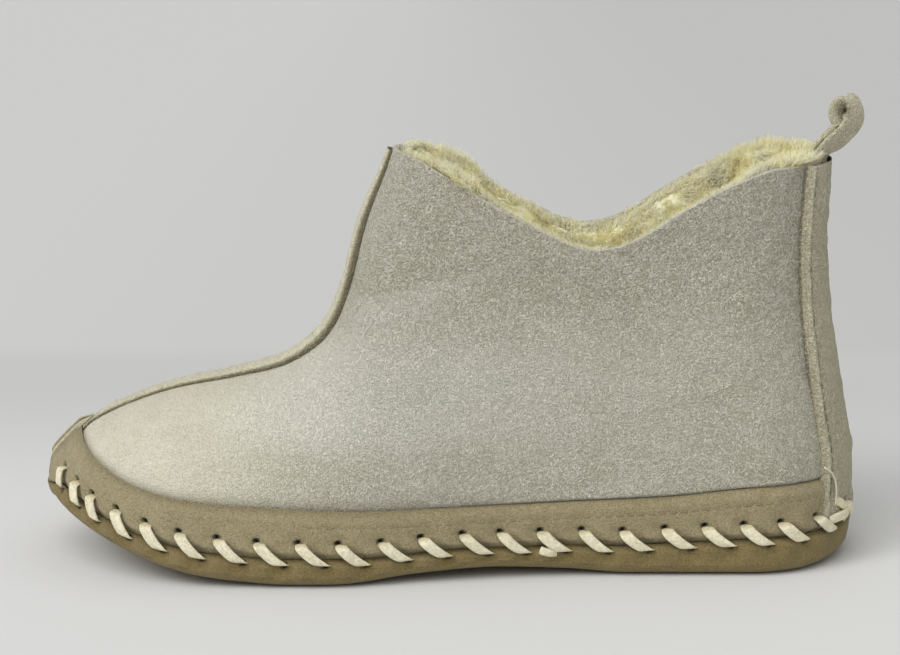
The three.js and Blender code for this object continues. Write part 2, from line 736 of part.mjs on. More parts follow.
// Fleece collar: a soft ring inside the collar edge with locks of wool fused on.
function makeFleeceCollar() {
  const shares = STATIONS.filter((u, i) => u >= PEAK_AT && (u > 0.85 || u < 0.5 || i % 2 === 0));
  const ringAt = (u, side) => FLEECE_SECTION.map((row) => fleecePoint(u, side, row.deep, row.over));
  const front = shares.map((u) => ringAt(u, -1));
  const back = shares.slice(1, -1).reverse().map((u) => ringAt(u, 1));
  let wool = outwards(skinRings([...front, ...back], true));
  const random = randomSource(11);
  for (let i = 0; i < LOCK_COUNT; i += 1) {
    const way = (i + random() * 0.8) / LOCK_COUNT;
    const side = way < 0.5 ? -1 : 1;
    const u = THREE.MathUtils.lerp(PEAK_AT + 0.004, 0.998, Math.min(way, 1 - way) * 2);
    const deep = 0.45 + random() * 0.35;
    const root = fleecePoint(u, side, deep, 0.45);
    const tipShare = THREE.MathUtils.clamp(u + (random() - 0.5) * 0.02, PEAK_AT + 0.004, 0.998);
    const tip = fleecePoint(tipShare, side, deep + (random() - 0.35) * 0.5, 1.15 + random() * 0.55);
    const aside = fleecePoint(Math.min(u + 0.006, 1), side, deep, 0.45).sub(root).setLength(1.7);
    const inward = fleecePoint(u, side, deep + 0.3, 0.45).sub(root).setLength(1.7);
    const lock = new Body();
    const base = [[1, 0.6], [0, -1], [-1, 0.6]].map(([a, b]) => lock.add(
      root.clone().addScaledVector(aside, a).addScaledVector(inward, b),
    ));
    const point = lock.add(tip);
    lock.faces.push(base);
    base.forEach((corner, k) => lock.faces.push([base[(k + 1) % 3], corner, point]));
    wool = wool.add(outwards(lock));
  }
  return geometryOf(wool);
}

// The whip seam as one closed path round the foot: from the toe along the outer side to the heel
// and back along the inner side. Places on it are given by their length along it.
function makeSeamPath(offset) {
  const finer = [];
  for (let i = 0; i < STATION_COUNT; i += 1) {
    for (let k = 0; k < 6; k += 1) finer.push(THREE.MathUtils.lerp(STATIONS[i], STATIONS[i + 1], k / 6));
  }
  const stops = [
    ...finer.map((u) => ({ u, side: -1 })),
    { u: 1, side: -1 },
    ...finer.slice().reverse().map((u) => ({ u, side: 1 })),
  ];
  let length = 0;
  stops.forEach((stop, i) => {
    stop.point = formPoint(stop.u, seamHeight(stop.u), stop.side, offset);
    if (i > 0) length += stop.point.distanceTo(stops[i - 1].point);
    stop.length = length;
  });
  const place = (wanted) => {
    const at = ((wanted % length) + length) % length;
    let i = 1;
    while (stops[i].length < at) i += 1;
    const before = stops[i - 1];
    const way = (at - before.length) / (stops[i].length - before.length);
    return { u: THREE.MathUtils.lerp(before.u, stops[i].u, way), side: stops[i].side };
  };
  return { length, place };
}

// Whip lace: slanting bars across the crease, joined to one run of lace inside it.
function makeLace() {
  const runOffset = GAP + RAND_THICKNESS / 2 + 0.1;
  const runHalf = CREASE / 2 - GAP - 0.15;
  const barOffset = GAP + Math.max(RAND_THICKNESS, HEEL_STRIP_THICKNESS) + GAP + LACE_THICKNESS / 2;
  const runRing = (u, side) => [[-1, 0], [0.8, -1], [0.8, 1]].map(([out, up]) => formPoint(
    u, seamHeight(u) + up * runHalf, side, runOffset + out * runHalf,
  ));
  const outerRun = STATIONS.map((u) => runRing(u, -1));
  const innerRun = STATIONS.slice(1, -1).reverse().map((u) => runRing(u, 1));
  let lace = outwards(skinRings([...outerRun, ...innerRun], true));
  const seam = makeSeamPath(GAP + RAND_THICKNESS);
  const count = Math.round(seam.length / LACE_PITCH);
  const barSteps = 3;
  for (let k = 0; k < count; k += 1) {
    const middle = ((k + 0.5) * seam.length) / count;
    const pointAt = (way, offset) => {
      const { u, side } = seam.place(middle + (way - 0.5) * LACE_RUN);
      return formPoint(u, seamHeight(u) + (0.5 - way) * LACE_RISE, side, offset);
    };
    const barRings = [];
    for (let i = 0; i <= barSteps; i += 1) {
      const way = i / barSteps;
      const centre = pointAt(way, barOffset);
      const out = pointAt(way, barOffset + 1).sub(centre).normalize();
      const onwards = pointAt(way + 0.05, barOffset).sub(pointAt(way - 0.05, barOffset)).normalize();
      const across = onwards.clone().cross(out).normalize();
      barRings.push([[-1, -1], [1, -1], [1, 1], [-1, 1]].map(([a, b]) => centre.clone()
        .addScaledVector(across, (a * LACE_WIDTH) / 2)
        .addScaledVector(out, (b * LACE_THICKNESS) / 2)));
    }
    const stemHalf = runHalf * 0.8;
    const stemRings = [runOffset, barOffset].map((offset) => {
      const centre = pointAt(0.47, offset);
      const level = pointAt(0.6, offset).sub(pointAt(0.4, offset)).setZ(0).normalize();
      return [[-1, -0.7], [1, -0.7], [0, 1]].map(([a, b]) => centre.clone()
        .addScaledVector(level, a * stemHalf)
        .add(new THREE.Vector3(0, 0, b * stemHalf)));
    });
    lace = lace.add(outwards(skinRings(barRings, false))).add(outwards(skinRings(stemRings, false)));
  }
  return geometryOf(lace);
}

const SUEDE = new THREE.MeshStandardMaterial({ color: '#cfc9b8', roughness: 0.95, metalness: 0 });
const SUEDE_BAND = new THREE.MeshStandardMaterial({ color: '#b3a88d', roughness: 0.95, metalness: 0 });
const SUEDE_SOLE = new THREE.MeshStandardMaterial({ color: '#a3987c', roughness: 0.95, metalness: 0 });
const FLEECE = new THREE.MeshStandardMaterial({ color: '#efe0b4', roughness: 1, metalness: 0 });
const LACE = new THREE.MeshStandardMaterial({ color: '#e9dfc6', roughness: 0.8, metalness: 0 });

function named(name, geometry, material) {
  geometry.computeVertexNormals();
  const mesh = new THREE.Mesh(geometry, material);
  mesh.name = name;
  return mesh;
}

const group = new THREE.Group();
group.add(named('sole', makeSole(), SUEDE_SOLE));
group.add(named('insole', makeInsole(), FLEECE));
group.add(named('upper', makeUpper(), SUEDE));
group.add(named('rand', makeRand(), SUEDE_BAND));
group.add(named('toe_ridge', makeToeRidge(), SUEDE_BAND));
group.add(named('centre_strip', makeCentreStrip(), SUEDE_BAND));
group.add(named('heel_strip', makeHeelStrip(), SUEDE_BAND));
group.add(named('pull_loop', makePullLoop(), SUEDE_BAND));
group.add(named('fleece_collar', makeFleeceCollar(), FLEECE));
group.add(named('lace', makeLace(), LACE));

// The origin is under the middle of the whole bootie, on the ground.
const extent = new THREE.Box3().setFromObject(group);
group.position.set(-(extent.min.x + extent.max.x) / 2, -(extent.min.y + extent.max.y) / 2, -extent.min.z);

export default group;
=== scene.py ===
"""Looks of a left moccasin bootie in napped suede with a fleece lining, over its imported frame."""

import logging
import math
from dataclasses import dataclass, field
from enum import Enum
from typing import Sequence

import bpy
import numpy as np
from mathutils import Euler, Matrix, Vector


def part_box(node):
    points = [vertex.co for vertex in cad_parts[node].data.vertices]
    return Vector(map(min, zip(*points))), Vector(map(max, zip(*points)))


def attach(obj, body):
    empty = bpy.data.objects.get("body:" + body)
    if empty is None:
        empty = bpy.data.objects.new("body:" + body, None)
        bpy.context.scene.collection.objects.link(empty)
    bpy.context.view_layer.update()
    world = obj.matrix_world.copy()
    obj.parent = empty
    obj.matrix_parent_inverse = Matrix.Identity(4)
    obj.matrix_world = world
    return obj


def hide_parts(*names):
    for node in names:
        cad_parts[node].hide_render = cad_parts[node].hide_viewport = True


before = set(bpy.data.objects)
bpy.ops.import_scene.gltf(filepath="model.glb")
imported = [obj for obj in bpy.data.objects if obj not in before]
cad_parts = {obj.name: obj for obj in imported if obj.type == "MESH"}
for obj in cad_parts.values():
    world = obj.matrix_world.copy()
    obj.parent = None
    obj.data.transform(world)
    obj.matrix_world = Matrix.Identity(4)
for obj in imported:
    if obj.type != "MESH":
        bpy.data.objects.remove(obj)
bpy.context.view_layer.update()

LOG = logging.getLogger("bootie")
MM = 0.001
Array = np.ndarray
Colour = tuple[float, float, float]
OUTER, INNER = -1, 1  # sides of the foot: the outer side is towards -Y


def srgb(red: int, green: int, blue: int) -> Colour:
    """Linear colour of three numbers from 0 to 255."""
    return tuple((c / 255 / 12.92) if c <= 10 else ((c / 255 + 0.055) / 1.055) ** 2.4 for c in (red, green, blue))


def smooth(value: Array, low: float, high: float) -> Array:
    """Soft step of a value from 0 at low to 1 at high."""
    t = np.clip((value - low) / (high - low), 0, 1)
    return t * t * (3 - 2 * t)


def bump(away: Array, width: float) -> Array:
    """Soft bump, 1 where away is 0."""
    return np.exp(-((away / width) ** 2))


def soft_line(rows: Sequence[Sequence[float]], count: int) -> tuple[Array, Array]:
    """A line through rows, with its corners softened.

    Args:
        rows: The rows.
        count: Points of the line.

    Returns:
        The line, and the row that each point stands at.
    """
    table = np.array(rows, float)
    steps = np.linspace(0, len(table) - 1, count)
    line = np.stack([np.interp(steps, np.arange(len(table)), column) for column in table.T], axis=-1)
    for _ in range(3):
        line[1:-1] = (line[:-2] + 2 * line[1:-1] + line[2:]) / 4
    return line, steps


def squarish(turn: Array, wide: float, thick: float) -> tuple[Array, Array]:
    """Width and thickness round a section; a power under 1 makes it squarer than an ellipse."""
    across, over = np.cos(turn), np.sin(turn)
    return np.sign(across) * np.abs(across) ** wide, np.sign(over) * np.abs(over) ** thick


def unit(vectors: Array) -> Array:
    """Vectors of length one."""
    return vectors / np.maximum(np.linalg.norm(vectors, axis=-1, keepdims=True), 1e-9)


def blend(a: Array, b: Array, way: Array) -> Array:
    """What lies between a and b."""
    return a + (b - a) * way


class Curve:
    """Smooth line through rows of place and value, which never overshoots."""

    def __init__(self, *rows: tuple[float, float]) -> None:
        """Takes the rows in order of place.

        Args:
            rows: Pairs of place and value.
        """
        self.at = np.array([row[0] for row in rows], float)
        self.value = np.array([row[1] for row in rows], float)
        slope = np.diff(self.value) / np.diff(self.at)
        before, after = slope[:-1], slope[1:]
        total = np.where(before + after == 0, 1, before + after)
        inner = np.where(before * after > 0, 2 * before * after / total, 0)
        self.tangent = np.concatenate([slope[:1], inner, slope[-1:]])

    def __call__(self, place: Array) -> Array:
        """Value at a place.

        Args:
            place: Places, held between the first and the last row.

        Returns:
            The values there.
        """
        at = np.clip(place, self.at[0], self.at[-1])
        i = np.searchsorted(self.at[1:-1], at, side="left")
        step = self.at[i + 1] - self.at[i]
        t = (at - self.at[i]) / step
        t2, t3 = t * t, t**3
        return (
            self.value[i] * (2 * t3 - 3 * t2 + 1)
            + self.tangent[i] * step * (t3 - 2 * t2 + t)
            + self.value[i + 1] * (3 * t2 - 2 * t3)
            + self.tangent[i + 1] * step * (t3 - t2)
        )


class SoftNoise:
    """Smooth random heights from -1 to 1 over space, the same on every run."""

    def __init__(self, seed: int, cells: int = 32) -> None:
        """Fills the lattice.

        Args:
            seed: Seed of the random numbers.
            cells: Cells each way before the pattern repeats.
        """
        self.cells = cells
        self.table = np.random.default_rng(seed).uniform(-1, 1, (cells, cells, cells))

    def __call__(self, points: Array, size: float) -> Array:
        """Heights at points.

        Args:
            points: Points in millimetres.
            size: Size of one bump in millimetres.

        Returns:
            One height for each point.
        """
        place = points / size
        low = np.floor(place).astype(int)
        part = place - low
        part = part * part * (3 - 2 * part)
        total = np.zeros(points.shape[:-1])
        for corner in range(8):
            bits = np.array([corner & 1, corner >> 1 & 1, corner >> 2 & 1])
            index = (low + bits) % self.cells
            weight = np.where(bits == 1, part, 1 - part).prod(axis=-1)
            total += weight * self.table[index[..., 0], index[..., 1], index[..., 2]]
        return total


@dataclass(frozen=True)
class BootieForm:
    """The bootie's own form in millimetres, toe at 0 and heel at its length, fitted to its side view."""

    length: float = 260.0
    ball_width: float = 92.0
    heel_width: float = 68.0
    collar_width: float = 61.0
    toe_height: float = 29.0
    instep_height: float = 69.5
    peak_height: float = 133.0
    dip_height: float = 104.0
    heel_height: float = 129.5
    seam_height: float = 14.5
    rand_height: float = 30.0
    toe_spring: float = 15.0
    arch_lift: float = 3.0
    heel_lift: float = 1.5
    wall: float = 2.2
    instep_at: float = 0.335
    peak_at: float = 0.43
    toe_round: float = 0.2
    heel_round: float = 0.13
    lean_from: float = 0.55
    arch_power: float = 2.5
    blend_low: float = 0.16
    blend_high: float = 0.8
    ridge_at: float = 0.0337
    vamp: Curve = Curve((0, 0), (0.006, 0.067), (0.02, 0.168), (0.035, 0.262), (0.05, 0.346), (0.1, 0.509),
                        (0.16, 0.638), (0.22, 0.718), (0.281, 0.81), (0.31, 0.89), (0.335, 1))
    throat: Curve = Curve((0, 0), (0.115, 0.048), (0.237, 0.118), (0.36, 0.228), (0.468, 0.36), (0.548, 0.49),
                          (0.628, 0.615), (0.752, 0.748), (0.895, 0.885), (1, 1))
    collar_front: Curve = Curve((0, 1), (0.05, 0.93), (0.1, 0.8), (0.17, 0.59), (0.26, 0.345), (0.33, 0.17),
                                (0.395, 0.04), (0.44, 0), (1, 0))
    collar_back: Curve = Curve((0, 0), (0.44, 0), (0.49, 0.03), (0.56, 0.17), (0.63, 0.4), (0.7, 0.61),
                               (0.78, 0.82), (0.88, 0.98), (1, 1))
    back_line: Curve = Curve((0, 0.004), (0.08, 0), (0.26, 0.001), (0.4, 0.014), (0.52, 0.025), (0.66, 0.036),
                             (0.83, 0.042), (1, 0.039))
    outer_half: Curve = Curve((0, 0.43), (0.12, 0.47), (0.24, 0.5), (0.34, 0.505), (0.46, 0.47), (0.58, 0.42),
                              (0.72, 0.37), (0.87, 0.36), (1, 0.36))
    inner_half: Curve = Curve((0, 0.46), (0.12, 0.49), (0.24, 0.5), (0.34, 0.49), (0.46, 0.44), (0.58, 0.4),
                              (0.72, 0.37), (0.87, 0.36), (1, 0.36))
    heel_share: Curve = Curve((0, 0), (0.34, 0), (0.46, 0.2), (0.58, 0.5), (0.72, 1), (1, 1))
    toe_lift: Curve = Curve((0, 1.25), (0.04, 0.98), (0.09, 0.66), (0.15, 0.34), (0.2, 0.16), (0.25, 0.06), (0.3, 0),
                            (1, 0))
    arch: Curve = Curve((0, 0), (0.37, 0), (0.46, 0.7), (0.54, 1), (0.64, 0.55), (0.72, 0), (1, 0))
    back_lift: Curve = Curve((0, 0), (0.93, 0), (1, 1))
    seam_line: Curve = Curve((0, 0.42), (0.012, 0.6), (0.024, 0.72), (0.04, 0.7), (0.064, 0.66), (0.12, 0.68),
                             (0.18, 0.72), (0.25, 0.75), (0.33, 0.76), (0.46, 0.65), (0.56, 0.63), (0.66, 0.74),
                             (0.76, 0.85), (0.88, 0.95), (1, 1))
    rand_line: Curve = Curve((0, 1.4), (0.033, 1.34), (0.064, 1.18), (0.12, 0.99), (0.18, 0.9), (0.25, 0.85),
                             (0.33, 0.825), (0.46, 0.805), (0.56, 0.81), (0.66, 0.83), (0.76, 0.87), (0.88, 0.97),
                             (1, 1))

    def ground(self, u: Array) -> Array:
        """Height of the ground side of the sole at a share of the length."""
        return self.toe_lift(u) * self.toe_spring + self.arch(u) * self.arch_lift + self.back_lift(u) * self.heel_lift

    def crown(self, u: Array) -> Array:
        """Height of the middle line over vamp and throat, carried on past the peak.

        Args:
            u: Shares of the length.

        Returns:
            The heights.
        """
        vamp = self.toe_height + self.vamp(u) * (self.instep_height - self.toe_height)
        rise = self.peak_height - self.instep_height
        way = (u - self.instep_at) / (self.peak_at - self.instep_at)
        throat = np.where(way <= 1, self.instep_height + self.throat(way) * rise, self.peak_height + (way - 1) * rise)
        return np.where(u <= self.instep_at, vamp, throat)

    def collar(self, u: Array) -> Array:
        """Height of the collar edge."""
        way = (u - self.peak_at) / (1 - self.peak_at)
        return (self.dip_height + self.collar_front(way) * (self.peak_height - self.dip_height)
                + self.collar_back(way) * (self.heel_height - self.dip_height))

    def top(self, u: Array) -> Array:
        """Height of the upper's upper edge: the middle line up to the peak, then the collar."""
        return np.where(u > self.peak_at, self.collar(u), self.crown(u))

    def seam(self, u: Array) -> Array:
        """Height of the whip seam."""
        return self.ground(u) + self.seam_line(u) * self.seam_height

    def rand(self, u: Array) -> Array:
        """Height of the rand's top edge."""
        return self.rand_line(u) * self.rand_height

    def lean(self, u: Array, z: Array) -> Array:
        """How far the back line pulls a point forward."""
        return smooth(u, self.lean_from, 1) * self.back_line(z / self.heel_height) * self.length

    def share(self, x: Array, z: Array) -> Array:
        """Share of the length of a point that the back line has moved.

        Args:
            x: Places along the foot.
            z: Heights.

        Returns:
            The shares.
        """
        u = x / self.length
        for _ in range(4):
            u = (x + self.lean(u, z)) / self.length
        return u

    def half_squared(self, u: Array, z: Array, side: Array) -> Array:
        """Square of the half width of the outer face, negative outside it.

        Args:
            u: Shares of the length.
            z: Heights.
            side: OUTER or INNER.

        Returns:
            The squares.
        """
        ball = np.where(side < 0, self.outer_half(u), self.inner_half(u)) * self.ball_width
        foot = blend(ball, self.heel_width / 2, self.heel_share(u))
        up = smooth(z, self.blend_low * self.peak_height, self.blend_high * self.peak_height)
        shaft = np.minimum(self.collar_width / 2, foot)
        width = blend(foot, shaft, up * smooth(u, 0.15, self.instep_at))
        ground = self.ground(u)
        level = np.maximum(z - ground, 0) / (self.crown(u) - ground)
        toe = np.where(u < self.toe_round, 1 - (1 - u / self.toe_round) ** 2, 1)
        heel = np.where(u > 1 - self.heel_round, 1 - ((u - 1 + self.heel_round) / self.heel_round) ** 2, 1)
        return width**2 * (1 - level**self.arch_power) * toe * heel

    def normal(self, x: Array, y: Array, z: Array, side: Array) -> Array:
        """Outward normals of the form at points on it.

        Args:
            x: Places along the foot.
            y: Places across it.
            z: Heights.
            side: OUTER or INNER.

        Returns:
            One direction for each point.
        """
        step = 0.05
        dx = self.half_squared(self.share(x + step, z), z, side) - self.half_squared(self.share(x - step, z), z, side)
        up, down = z + step, z - step
        dz = self.half_squared(self.share(x, up), up, side) - self.half_squared(self.share(x, down), down, side)
        return unit(np.stack(np.broadcast_arrays(-dx / (2 * step), 2 * y, -dz / (2 * step)), axis=-1))

    def point(self, u: Array, z: Array, side: Array, offset: Array = 0.0) -> Array:
        """Points on the form, moved outwards along its normals.

        Args:
            u: Shares of the length.
            z: Heights.
            side: OUTER or INNER.
            offset: Millimetres outwards.

        Returns:
            One point for each set of values.
        """
        u, z, side, offset = np.broadcast_arrays(*(np.asarray(v, float) for v in (u, z, side, offset)))
        half = np.sqrt(np.maximum(self.half_squared(u, z, side), 0))
        flat = half < 0.001
        x = u * self.length - self.lean(u, z)
        y = np.where(flat, 0, half * side)
        facing = self.normal(x, y, z, np.where(flat, OUTER, side))
        return np.stack([x, y, z], axis=-1) + facing * offset[..., None]

    def levels(self, u: Array, low: Array, high: Array, count: int) -> Array:
        """Heights of rows between two edges, spread evenly round each section's arch.

        Args:
            u: Shares of the length, one for each section.
            low: Height of the lower edge in each section.
            high: Height of the upper edge in each section.
            count: Rows.

        Returns:
            Heights as sections by rows.
        """
        ground, crown = self.ground(u), self.crown(u)

        def turn(z: Array) -> Array:
            """Angle round the arch at a height."""
            return np.arcsin(np.clip((z - ground) / (crown - ground), 0, 1) ** (self.arch_power / 2))

        start, end = turn(low), turn(high)
        angle = start[:, None] + (end - start)[:, None] * np.linspace(0, 1, count)
        return ground[:, None] + (crown - ground)[:, None] * np.sin(angle) ** (2 / self.arch_power)

    def heel_at(self, angle: Array) -> Array:
        """Share of the length at an angle round the heel, in degrees from the back."""
        return 1 - self.heel_round + self.heel_round * np.cos(np.radians(angle))


FORM = BootieForm()


def both_sides(shares: Array) -> tuple[Array, Array]:
    """Shares and sides of a closed line: along the outer side, and back along the inner one."""
    return np.concatenate([shares, shares[::-1]]), np.repeat([OUTER, INNER], len(shares))


@dataclass(frozen=True)
class SeamPath:
    """The whip seam as a closed path, measured from the toe along the outer side."""

    u: Array
    side: Array
    place: Array
    half: float
    total: float

    @classmethod
    def measure(cls, form: BootieForm, offset: float = 2.3, fine: int = 1500) -> "SeamPath":
        """Measures the seam.

        Args:
            form: The bootie's form.
            offset: How far outside the upper it runs.
            fine: Steps along one side.

        Returns:
            The path, with its length at each step.
        """
        turn = np.linspace(0, 1, fine)
        one_side = np.where(turn < 0.3, form.toe_round * (1 - np.cos(turn / 0.3 * math.pi / 2)),
                            np.where(turn < 0.8, blend(form.toe_round, 1 - form.heel_round, (turn - 0.3) / 0.5),
                                     1 - form.heel_round + form.heel_round * np.sin((turn - 0.8) / 0.2 * math.pi / 2)))
        u, side = both_sides(one_side)
        points = form.point(u, form.seam(u), side, offset)
        step = np.linalg.norm(np.diff(points, axis=0), axis=1)
        place = np.concatenate([[0], np.cumsum(step)])
        return cls(u, side, place, place[fine - 1], place[-1])

    def at(self, place: Array) -> tuple[Array, Array]:
        """Share of the length and side at places along the path, which may run past its ends."""
        inside = np.mod(place, self.total)
        return np.interp(inside, self.place, self.u), np.where(inside < self.half, OUTER, INNER)

    def of(self, u: Array, side: Array) -> Array:
        """Finds the places along the path.

        Args:
            u: Shares of the length.
            side: OUTER or INNER.

        Returns:
            The places, in millimetres from the toe.
        """
        count = len(self.u) // 2
        outer = np.interp(u, self.u[:count], self.place[:count])
        inner = np.interp(u, self.u[:count], (self.total - self.place[count:])[::-1])
        return np.where(np.asarray(side) < 0, outer, self.total - inner)


PATH = SeamPath.measure(FORM)


class Value:
    """A shader value that is used in Python expressions; each operator adds its Math node."""

    def __init__(self, nodes: bpy.types.Nodes, links: bpy.types.NodeLinks, output: bpy.types.NodeSocket) -> None:
        """Wraps a socket.

        Args:
            nodes: Nodes of the finish.
            links: Links of the finish.
            output: The wrapped output.
        """
        self.nodes, self.links, self.output = nodes, links, output

    def math(self, operation: str, *others: "Value | float", first: "Value | float | None" = None) -> "Value":
        """Adds a Math node.

        Args:
            operation: The node's operation.
            others: The values after the first.
            first: What stands first, where that isn't this value.

        Returns:
            The result.
        """
        node = self.nodes.new("ShaderNodeMath")
        node.operation = operation
        for place, value in enumerate([self if first is None else first, *others]):
            if isinstance(value, Value):
                self.links.new(value.output, node.inputs[place])
            else:
                node.inputs[place].default_value = value
        return Value(self.nodes, self.links, node.outputs[0])

    def __add__(self, other: "Value | float") -> "Value":
        """Sum."""
        return self.math("ADD", other)

    __radd__ = __add__

    def __sub__(self, other: "Value | float") -> "Value":
        """Difference."""
        return self.math("SUBTRACT", other)

    def __rsub__(self, other: float) -> "Value":
        """Difference from a number."""
        return self.math("SUBTRACT", self, first=other)

    def __mul__(self, other: "Value | float") -> "Value":
        """Product."""
        return self.math("MULTIPLY", other)

    __rmul__ = __mul__

    def step(self, low: float, high: float) -> "Value":
        """Soft step from 0 at low to 1 at high.

        Args:
            low: Where the step starts.
            high: Where it ends.

        Returns:
            The result.
        """
        node = self.nodes.new("ShaderNodeMapRange")
        node.interpolation_type = "SMOOTHSTEP"
        node.inputs["From Min"].default_value = low
        node.inputs["From Max"].default_value = high
        self.links.new(self.output, node.inputs["Value"])
        return Value(self.nodes, self.links, node.outputs["Result"])


class Palette:
    """Node tree of one finish."""

    def __init__(self, name: str) -> None:
        """Makes the material with its shader.

        Args:
            name: The finish's name.
        """
        self.material = bpy.data.materials.new(name)
        self.material.use_nodes = True
        self.nodes = self.material.node_tree.nodes
        self.links = self.material.node_tree.links
        self.shader = self.nodes["Principled BSDF"]
        self.place = self.node("ShaderNodeTexCoord", out="Object")

    def node(self, kind: str, settings: dict | None = None, inputs: dict | None = None, out: int | str = 0) -> Value:
        """Adds a node.

        Args:
            kind: The node's type.
            settings: Its own settings, which are set first.
            inputs: Values or links of its sockets, by name or number.
            out: The output that is wanted.

        Returns:
            That output.
        """
        node = self.nodes.new(kind)
        for name, value in (settings or {}).items():
            setattr(node, name, value)
        for name, value in (inputs or {}).items():
            if isinstance(value, Value):
                self.links.new(value.output, node.inputs[name])
            else:
                node.inputs[name].default_value = value
        return Value(self.nodes, self.links, node.outputs[out])

    def noise(self, size: float, detail: float = 2.0, roughness: float = 0.5, distortion: float = 0.0,
              place: Value | None = None) -> Value:
        """Noise with bumps of a size in millimetres."""
        return self.node("ShaderNodeTexNoise", inputs={
            "Vector": place or self.place, "Scale": 1 / (size * MM), "Detail": detail,
            "Roughness": roughness, "Distortion": distortion}, out="Fac")

    def mark(self, name: str) -> Value:
        """A number that the mesh carries at its points."""
        return self.node("ShaderNodeAttribute", {"attribute_name": name}, out="Fac")

    def mix(self, factor: Value | float, a: Value | Colour, b: Value | Colour) -> Value:
        """Colour between a and b."""
        inputs = {0: factor, 6: a if isinstance(a, Value) else (*a, 1), 7: b if isinstance(b, Value) else (*b, 1)}
        return self.node("ShaderNodeMix", {"data_type": "RGBA"}, inputs, out=2)

    def finish(self, colour: Value | Colour, roughness: Value | float, height: Value | None = None,
               **constants: float | Colour) -> bpy.types.Material:
        """Connects the shader.

        Args:
            colour: Base colour.
            roughness: Roughness.
            height: Relief in millimetres.
            constants: Other sockets of the shader, with spaces written as underscores.

        Returns:
            The material.
        """
        for name, value in (("Base Color", colour), ("Roughness", roughness)):
            if isinstance(value, Value):
                self.links.new(value.output, self.shader.inputs[name])
            else:
                self.shader.inputs[name].default_value = (*value, 1) if name == "Base Color" else value
        if height is not None:
            relief = self.node("ShaderNodeBump", inputs={"Height": height, "Distance": MM, "Strength": 1.0},
                               out="Normal")
            self.links.new(relief.output, self.shader.inputs["Normal"])
        for name, value in constants.items():
            socket = self.shader.inputs[name.replace("_", " ")]
            socket.default_value = (*value, 1) if socket.type == "RGBA" else value
        return self.material


@dataclass(frozen=True)
class Suede:
    """Napped suede: a fine nap over crinkles, mottled, with painted highlight on the crests and painted shade in the
    hollows between them, darker at raw edges, and with painted shade along seams, creases and in lace holes.
    """

    name: str
    colour: Colour
    shade: Colour
    pale: Colour
    raw: Colour
    nap: float = 0.42
    nap_depth: float = 0.42
    crinkle: float = 1.05
    crinkle_depth: float = 1.2
    blotch: float = 26.0

    def material(self) -> bpy.types.Material:
        """Makes the finish.

        Returns:
            The material.
        """
        p = Palette(self.name)
        worn = p.mark("crinkle")
        tone = p.mark("tone")
        coarse = (p.noise(self.crinkle, 1.5, 0.5, 0.5) * 2 - 1).math("ABSOLUTE").step(0.32, 0.0)
        close = (p.noise(self.crinkle * 0.55, 1.5, 0.5, 0.5) * 2 - 1).math("ABSOLUTE").step(0.36, 0.0)
        crest = coarse * 0.5 + close * 0.5
        nap = p.noise(self.nap, 2.5, 0.65)
        blotch = p.noise(self.blotch, 3.0, 0.55, 0.3)
        fine = p.noise(self.blotch / 5, 3.0, 0.6)
        colour = p.mix(blotch.step(0.25, 0.75) * 0.5, self.colour, self.shade)
        colour = p.mix(fine.step(0.35, 0.8) * 0.2, colour, self.pale)
        # The tone mark carries stains and uneven colour, and also the painted shade (below 0) and painted highlight
        # (above 0) that the pieces put in it.
        colour = p.mix((tone * -1).step(0, 1) * 0.85, colour, self.shade)
        colour = p.mix(tone.step(0, 1) * 0.85, colour, self.pale)
        # Painted highlight on the crinkle crests, partly worn nap, and painted shade in the hollows between them.
        colour = p.mix(crest.step(0.3, 0.8) * (0.12 + worn * 0.68), colour, self.pale)
        colour = p.mix(crest.step(0.2, 0.0) * (0.03 + worn * 0.3), colour, self.raw)
        colour = p.mix(nap.step(0.5, 0.3) * 0.34, colour, self.raw)
        colour = p.mix(nap.step(0.5, 0.7) * 0.4, colour, self.pale)
        # The edge mark gives raw cut edges their darker colour, and also paints shade along seam lines and creases.
        colour = p.mix(p.mark("edge") * (0.55 + nap * 0.5), colour, self.raw)
        # The hole mark paints the shade inside each lace hole near black.
        colour = p.mix(p.mark("hole"), colour, srgb(12, 10, 8))
        height = crest * (0.12 + worn * 0.88) * self.crinkle_depth + nap * self.nap_depth + fine * 0.1
        return p.finish(colour, 0.93, height, Specular_IOR_Level=0.15, Sheen_Weight=0.2, Sheen_Roughness=0.5,
                        Sheen_Tint=(0.96, 0.95, 0.9))


@dataclass(frozen=True)
class Fleece:
    """Wool fleece: cream tips over an ochre depth."""

    name: str = "wool_fleece"
    tip: Colour = srgb(255, 251, 224)
    body: Colour = srgb(255, 245, 192)
    depth: Colour = srgb(252, 230, 156)

    def material(self) -> bpy.types.Material:
        """Makes the finish.

        Returns:
            The material.
        """
        p = Palette(self.name)
        tuft = p.noise(9, 2.5, 0.6)
        strand = p.noise(0.9, 2.0, 0.6)
        colour = p.mix(tuft.step(0.35, 0.7), self.body, self.tip)
        colour = p.mix(p.mark("tone").step(0, 1), colour, self.depth)
        colour = p.mix(p.mark("tip"), colour, self.tip)
        height = tuft * 0.8 + strand * 0.2
        return p.finish(colour, 0.85, height, Subsurface_Weight=0.6, Subsurface_Scale=0.004,
                        Subsurface_Radius=(1.0, 0.85, 0.55), Specular_IOR_Level=0.1, Sheen_Weight=0.5,
                        Sheen_Roughness=0.4, Sheen_Tint=(1.0, 0.95, 0.8))


